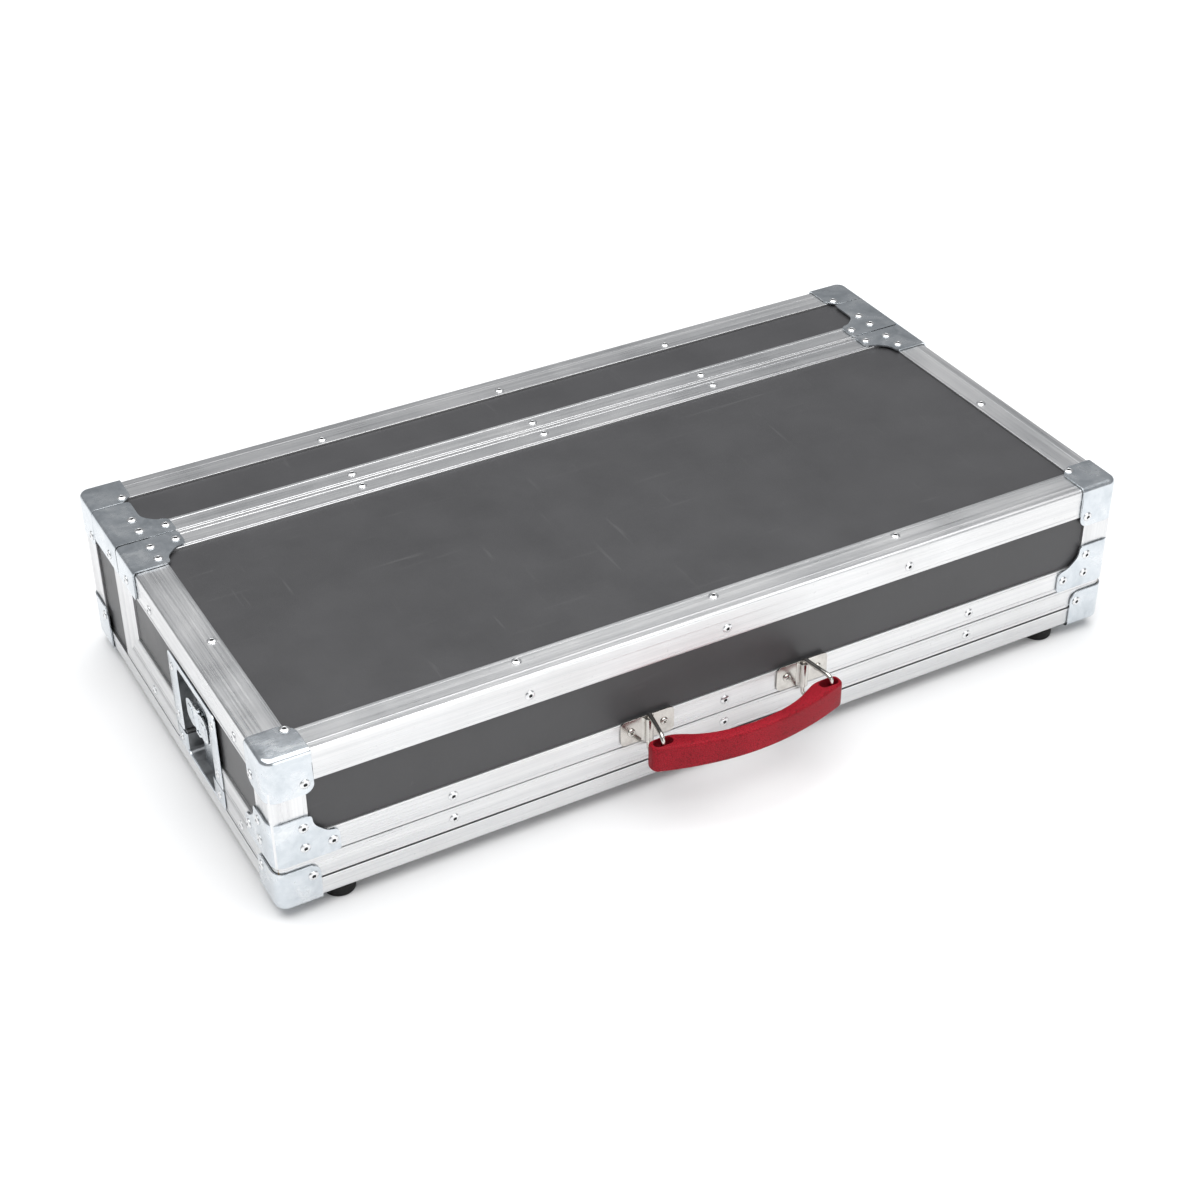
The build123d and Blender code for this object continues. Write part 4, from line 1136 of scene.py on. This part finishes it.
def through(knots, x):
    """Smooth curve through (x, value) knots, with flat ends."""
    x = min(max(x, knots[0][0]), knots[-1][0])
    slopes = [0.0] * len(knots)
    for i in range(1, len(knots) - 1):
        slopes[i] = (knots[i + 1][1] - knots[i - 1][1]) / (knots[i + 1][0] - knots[i - 1][0])
    slopes[-1] = (knots[-1][1] - knots[-2][1]) / (knots[-1][0] - knots[-2][0])
    for i in range(len(knots) - 1):
        (x0, v0), (x1, v1) = knots[i], knots[i + 1]
        if x <= x1:
            h, t = x1 - x0, (x - x0) / (x1 - x0)
            return (v0 * (1 + 2 * t) * (1 - t) ** 2 + v1 * t * t * (3 - 2 * t)
                    + slopes[i] * h * t * (1 - t) ** 2 - slopes[i + 1] * h * t * t * (1 - t))
    return knots[-1][1]


INNER = [(0, 47.0), (18, 45.9), (36, 42.6), (50, 37.8), (60, 32.4), (68, 28.6), (78, 27.3), (91, 28.0)]
OUTER = [(0, 57.0), (20, 56.1), (40, 53.4), (60, 49.2), (76, 44.6), (91, 39.6)]
TIP_X, BODY_X = 91.0, 86.5
GRIP_Z, GRIP_H = Z0 + 51.6, 24.6
SLOT_X, SLOT_Y, SLOT_R = 79.5, 34.3, 4.7


def grip_section(x, squeeze=1.0):
    """Rounded rectangle across the grip; squeeze draws it in near the ends."""
    near, far = through(INNER, abs(x)), through(OUTER, abs(x))
    middle, half = (near + far) / 2, (far - near) / 2 * squeeze
    tall = GRIP_H / 2 - (1 - squeeze) * 3.0
    r = min(2.6, half * 0.8)
    corners = [(middle - half, -tall), (middle + half, -tall), (middle + half, tall), (middle - half, tall)]
    ring = rounded(corners, [r] * 4, 5)
    return [(x, YF - n, GRIP_Z + z) for n, z in ring]


tips = []
for i in range(7):
    a = math.radians(90 * i / 7)
    tips.append((BODY_X + (TIP_X - BODY_X) * math.cos(a), 0.34 + 0.66 * math.sin(a) ** 0.75 if i else 0.34))
order = [(-x, q) for x, q in tips]
order += [(-BODY_X + 2 * BODY_X * i / 60, 1.0) for i in range(61)]
order += tips[::-1]
shape = bmesh.new()
rings = [[shape.verts.new(p) for p in grip_section(x, q)] for x, q in order]
skin(shape, rings)
shape.faces.new(rings[0])
shape.faces.new(rings[-1])
grip = deliver("grip_blank", shape, [RED], "grip")
cutter_shape = bmesh.new()
for s in (-1, 1):
    hole = [point for away, start in ((4.3, -90), (-4.3, 90))
            for point in arc(s * SLOT_X + away, YF - SLOT_Y, SLOT_R, start, start + 180, 10)]
    prism(cutter_shape, hole, along("z", GRIP_Z - 20), 40)
bmesh.ops.recalc_face_normals(cutter_shape, faces=cutter_shape.faces)
bmesh.ops.scale(cutter_shape, vec=(MM, MM, MM), verts=cutter_shape.verts)
cutter_mesh = bpy.data.meshes.new("cutter")
cutter_shape.to_mesh(cutter_mesh)
cutter_shape.free()
cutter = bpy.data.objects.new("cutter", cutter_mesh)
bpy.context.collection.objects.link(cutter)
cut = grip.modifiers.new("slots", "BOOLEAN")
cut.operation, cut.object, cut.solver = "DIFFERENCE", cutter, "EXACT"
bpy.context.view_layer.update()
cut_mesh = bpy.data.meshes.new_from_object(grip.evaluated_get(bpy.context.evaluated_depsgraph_get()))
bpy.data.objects.remove(cutter)
bpy.data.objects.remove(grip)
shape = bmesh.new()
shape.from_mesh(cut_mesh)
bmesh.ops.scale(shape, vec=(1 / MM, 1 / MM, 1 / MM), verts=shape.verts)
grip = deliver("handle_grip", shape, [RED], "grip", "grip_plastic", 38)
soften(grip, 1.0, 3, 50)

# %% [markdown]
# A recessed butterfly latch on each end. The dish is drawn from one sheet: a flat flange, a
# rounded mouth, walls and a floor. Its lower side is open, so the claw can reach down into the
# keeper on the tray, which is the same drawing turned upside down.

# %% Drawn dish and keeper
POCKET_SHADE = 4.0


def arch(half, top, bottom, radius, steps=8):
    """Open path up one side, across and down the other, as (offset, height) from the parting."""
    rise = 1 if top > bottom else -1
    path = [(-half, bottom)]
    for i in range(steps + 1):
        a = math.pi / 2 * i / steps
        path.append((-half + radius * (1 - math.cos(a)), top - rise * radius * (1 - math.sin(a))))
    for i in range(steps + 1):
        a = math.pi / 2 * (1 - i / steps)
        path.append((half - radius * (1 - math.cos(a)), top - rise * radius * (1 - math.sin(a))))
    return path + [(half, bottom)]


def drawn(side, rings, bottom, thick):
    """Sheet lofted through arches; each ring is (half width, top, corner radius, height)."""
    shape = bmesh.new()
    loops = []
    for half, top, radius, height in rings:
        loops.append([shape.verts.new((side * (XE + height), LATCH_Y + y, ZP + z))
                      for y, z in arch(half, top, bottom, radius)])
    skin(shape, loops, open_side=True)
    shape.faces.new(loops[-1])
    bmesh.ops.recalc_face_normals(shape, faces=shape.faces)
    facing = sum(f.normal.x * f.calc_area() for f in shape.faces) * side
    if facing < 0:
        bmesh.ops.reverse_faces(shape, faces=shape.faces)
    bmesh.ops.solidify(shape, geom=shape.faces[:], thickness=thick)
    # Faces more than POCKET_SHADE mm inside the end face take the darker zinc, which paints the shade of the
    # pocket.
    for face in shape.faces:
        face.material_index = int(side * face.calc_center_median().x < XE - POCKET_SHADE)
    return shape


DISH = [(53, 73.5, 5.0, 0.9), (52.9, 73.4, 4.9, 1.25), (52.5, 73.0, 4.6, 1.4), (37.6, 67.6, 9.6, 1.4),
        (36.6, 66.6, 8.8, 1.15), (36.0, 66.0, 8.3, 0.4), (35.6, 65.6, 8.0, -9.6), (34.8, 64.8, 7.4, -11.4),
        (32.8, 62.8, 6.0, -12.4), (30.0, 60.0, 5.0, -12.5)]
KEEPER = [(53, -21.4, 3.0, 0.9), (52.9, -21.3, 3.0, 1.25), (52.5, -20.9, 2.8, 1.4),
          (31.2, -19.6, 5.0, 1.4), (30.4, -19.0, 4.6, 1.1), (30.0, -18.7, 4.4, 0.3),
          (29.6, -18.3, 4.0, -14.6), (28.6, -17.4, 3.4, -16.2), (27.0, -15.8, 3.0, -16.6)]
for side, word in SIDES:
    shape = drawn(side, DISH, 0.6, 1.2)
    post = Vector((side * (XE - 12.5), LATCH_Y, LATCH_Z))
    lathe(shape, [(0, 0), (5.4, 0), (5.2, 0.5), (3.0, 0.8), (3.0, 7.0), (2.6, 7.5), (0, 7.6)],
          post, (side, 0, 0), 24)
    deliver(f"{word}_latch_dish", shape, [ZINC, PAINTED_POCKET_SHADE], "lid", "zinc_plated_steel", 35, False)
    shape = drawn(side, KEEPER, -0.6, 1.2)
    ledge = rounded(rectangle(LATCH_Y - 16, LATCH_Y + 16, side * (XE - 16.6), side * (XE - 13.4)),
                    [0, 0, 1, 1], 3)
    prism(shape, [(b, a) for a, b in ledge], along("z", ZP - 12), 2.0)
    deliver(f"{word}_latch_keeper", shape, [ZINC, PAINTED_POCKET_SHADE], "base", "zinc_plated_steel", 35, False)

# %% Claw, rotor and wings
CAM_E, CAM_R = 2.0, 7.0
for side, word in SIDES:
    low_z = ZP - 18
    outline = [(LATCH_Y - 11, low_z), (LATCH_Y + 11, low_z), (LATCH_Y + 11, LATCH_Z - 21),
               (LATCH_Y + 14, LATCH_Z - 16), (LATCH_Y + 14, LATCH_Z + 12), (LATCH_Y - 14, LATCH_Z + 12),
               (LATCH_Y - 14, LATCH_Z - 16), (LATCH_Y - 11, LATCH_Z - 21)]
    wide, cz = CAM_R + CAM_E + 0.4, LATCH_Z - CAM_E
    window = rounded(rectangle(LATCH_Y - wide, LATCH_Y + wide, cz - CAM_R - 0.8, cz + CAM_R + 0.8),
                     [1.2] * 4, 4)
    shape = prism(bmesh.new(), rounded(outline, [0, 0, 3, 3, 4, 4, 3, 3], 4),
                  along("x", side * (XE - 7.0), -side), 2.0, holes=[window])
    prism(shape, rectangle(LATCH_Y - 11, LATCH_Y + 11, ZP - 18, ZP - 16.4),
          along("x", side * (XE - 9.0), -side), 4.0)
    pressed(f"{word}_latch_claw", shape, f"{word}_claw", 0.25)

    centre = Vector((side * XE, LATCH_Y, LATCH_Z))
    shape = bmesh.new()
    lathe(shape, [(3.1, -6.6), (14.6, -6.6), (15.0, -6.2), (15.0, -4.9), (14.5, -4.4), (12.2, -4.4),
                  (11.8, -4.7), (6.4, -4.7), (6.0, -4.4), (3.1, -4.4)], centre, (side, 0, 0), 40, closed=True)
    lathe(shape, [(0.0, -6.6), (6.7, -6.6), (CAM_R, -6.9), (CAM_R, -11.5), (6.7, -11.8), (0.0, -11.8)],
          centre - Vector((0, 0, CAM_E)), (side, 0, 0), 32)
    for dz in (-12.6, 12.6):
        lug = rounded(rectangle(side * (XE - 4.6), side * (XE + 0.2), LATCH_Y - 5.6, LATCH_Y + 5.6),
                      [0, 2.4, 2.4, 0], 5)
        prism(shape, lug, along("z", LATCH_Z + dz - 1.2), 2.4)
    for dy in (-3, 3):
        lathe(shape, [(0, 0), (0.8, 0), (1.0, 0.2), (1.0, 27.8), (0.8, 28.0), (0, 28.0)],
              (side * (XE - 2), LATCH_Y + dy, LATCH_Z - 14), Z, 16)
    deliver(f"{word}_latch_rotor", shape, [ZINC], f"{word}_rotor", "zinc_plated_steel", 40)

    for away, place in ((-1, "front"), (1, "back")):
        pin = LATCH_Y + away * 3.0
        shape = bmesh.new()
        blade = [(1.0, -10.8), (4.0, -10.8), (10.0, -13.4), (21.0, -8.0), (21.0, 8.0), (10.0, 13.4),
                 (4.0, 10.8), (1.0, 10.8)]
        outline = [(pin + away * a, LATCH_Z + b) for a, b in rounded(blade, [0, 1, 4, 4, 4, 4, 1, 0], 5)]
        prism(shape, outline, along("x", side * (XE - 2), side), 1.6)
        dimple = [(pin + away * a, LATCH_Z + b)
                  for a, b in rounded(rectangle(6.5, 17.0, -6.0, 6.0), [3, 3, 3, 3], 5)]
        prism(shape, dimple, along("x", side * (XE - 0.5), side), 0.45)
        lathe(shape, [(1.06, 0.0), (1.9, 0.0), (2.1, 0.2), (2.1, 21.4), (1.9, 21.6), (1.06, 21.6)],
              (side * (XE - 2), pin, LATCH_Z - 10.8), Z, 20, closed=True)
        pressed(f"{word}_latch_{place}_wing", shape, f"{word}_{place}_wing")

# %% [markdown]
# Inside: a plywood deck on three pine battens, screwed down, with loop carpet for the
# pedals' hook strips, and a slab of foam under the lid that holds the pedals in transit.

# %% Deck, battens and screws
for name, material in (("deck_battens", PINE), ("pedal_deck", BIRCH), ("deck_screws", BRIGHT)):
    for slot in bpy.data.objects[name].material_slots:
        slot.material = material

# %% Carpet


def slab(low, high, nx, ny, lift, edge_in):
    """Closed soft slab in a box: a grid above and below, joined at the rim, lifted by a function."""
    (x0, y0, z0), (x1, y1, z1) = low, high
    shape = bmesh.new()
    layers = []
    for k in (1, 0):
        grid = []
        for i in range(nx + 1):
            row = []
            for j in range(ny + 1):
                x, y = x0 + (x1 - x0) * i / nx, y0 + (y1 - y0) * j / ny
                rim = min(x - x0, x1 - x, y - y0, y1 - y)
                drop = edge_in * max(0.0, 1 - rim / (3 * edge_in)) ** 2
                row.append(shape.verts.new((x, y, (z1 - drop + lift(x, y)) if k else (z0 + drop * 0.3))))
            grid.append(row)
        layers.append(grid)
    upper, lower = layers
    for i in range(nx):
        for j in range(ny):
            shape.faces.new((upper[i][j], upper[i + 1][j], upper[i + 1][j + 1], upper[i][j + 1]))
            shape.faces.new((lower[i][j], lower[i][j + 1], lower[i + 1][j + 1], lower[i + 1][j]))
    rim = [(i, 0) for i in range(nx)] + [(nx, j) for j in range(ny)]
    rim += [(i, ny) for i in range(nx, 0, -1)] + [(0, j) for j in range(ny, 0, -1)]
    for (a, b), (c, d) in zip(rim, rim[1:] + rim[:1]):
        shape.faces.new((upper[a][b], upper[c][d], lower[c][d], lower[a][b]))
    return shape


def waves(count, slow, fast, height, offset):
    """Uneven surface: the sum of a few random plane waves, as a function of x and y."""
    drawn_waves = [(random.uniform(slow, fast), random.uniform(slow, fast), random.uniform(0, 6.28))
                   for _ in range(count)]
    return lambda x, y: sum(math.sin(a * x + b * y + c) for a, b, c in drawn_waves) * height + offset


random.seed(11)
carpet_low, carpet_high = node_box("deck_carpet")
shape = slab(carpet_low, carpet_high, 220, 90, waves(9, 0.01, 0.9, 0.035, -0.32), 0.8)
carpet = deliver("deck_carpet", shape, [CARPET], "base", "loop_carpet", 60)

# %% Lid foam
foam_low, foam_high = node_box("lid_foam")
shape = slab(foam_low, foam_high, 120, 50, waves(6, 0.004, 0.05, 0.12, -0.75), 2.4)
bmesh.ops.scale(shape, vec=(1, 1, -1), verts=shape.verts)
bmesh.ops.translate(shape, vec=(0, 0, foam_low[2] + foam_high[2]), verts=shape.verts)
foam = deliver("lid_foam", shape, [FOAM], "lid", "lid_foam", 60)

# %% [markdown]
# Last, the box of the visual model and the CAD's box are printed side by side.

# %% Sizes
visual_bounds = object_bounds()
for label, low_high in (("cad", CAD_BOUNDS), ("visual", visual_bounds)):
    print(label, [[round(v / MM, 2) for v in corner] for corner in low_high])
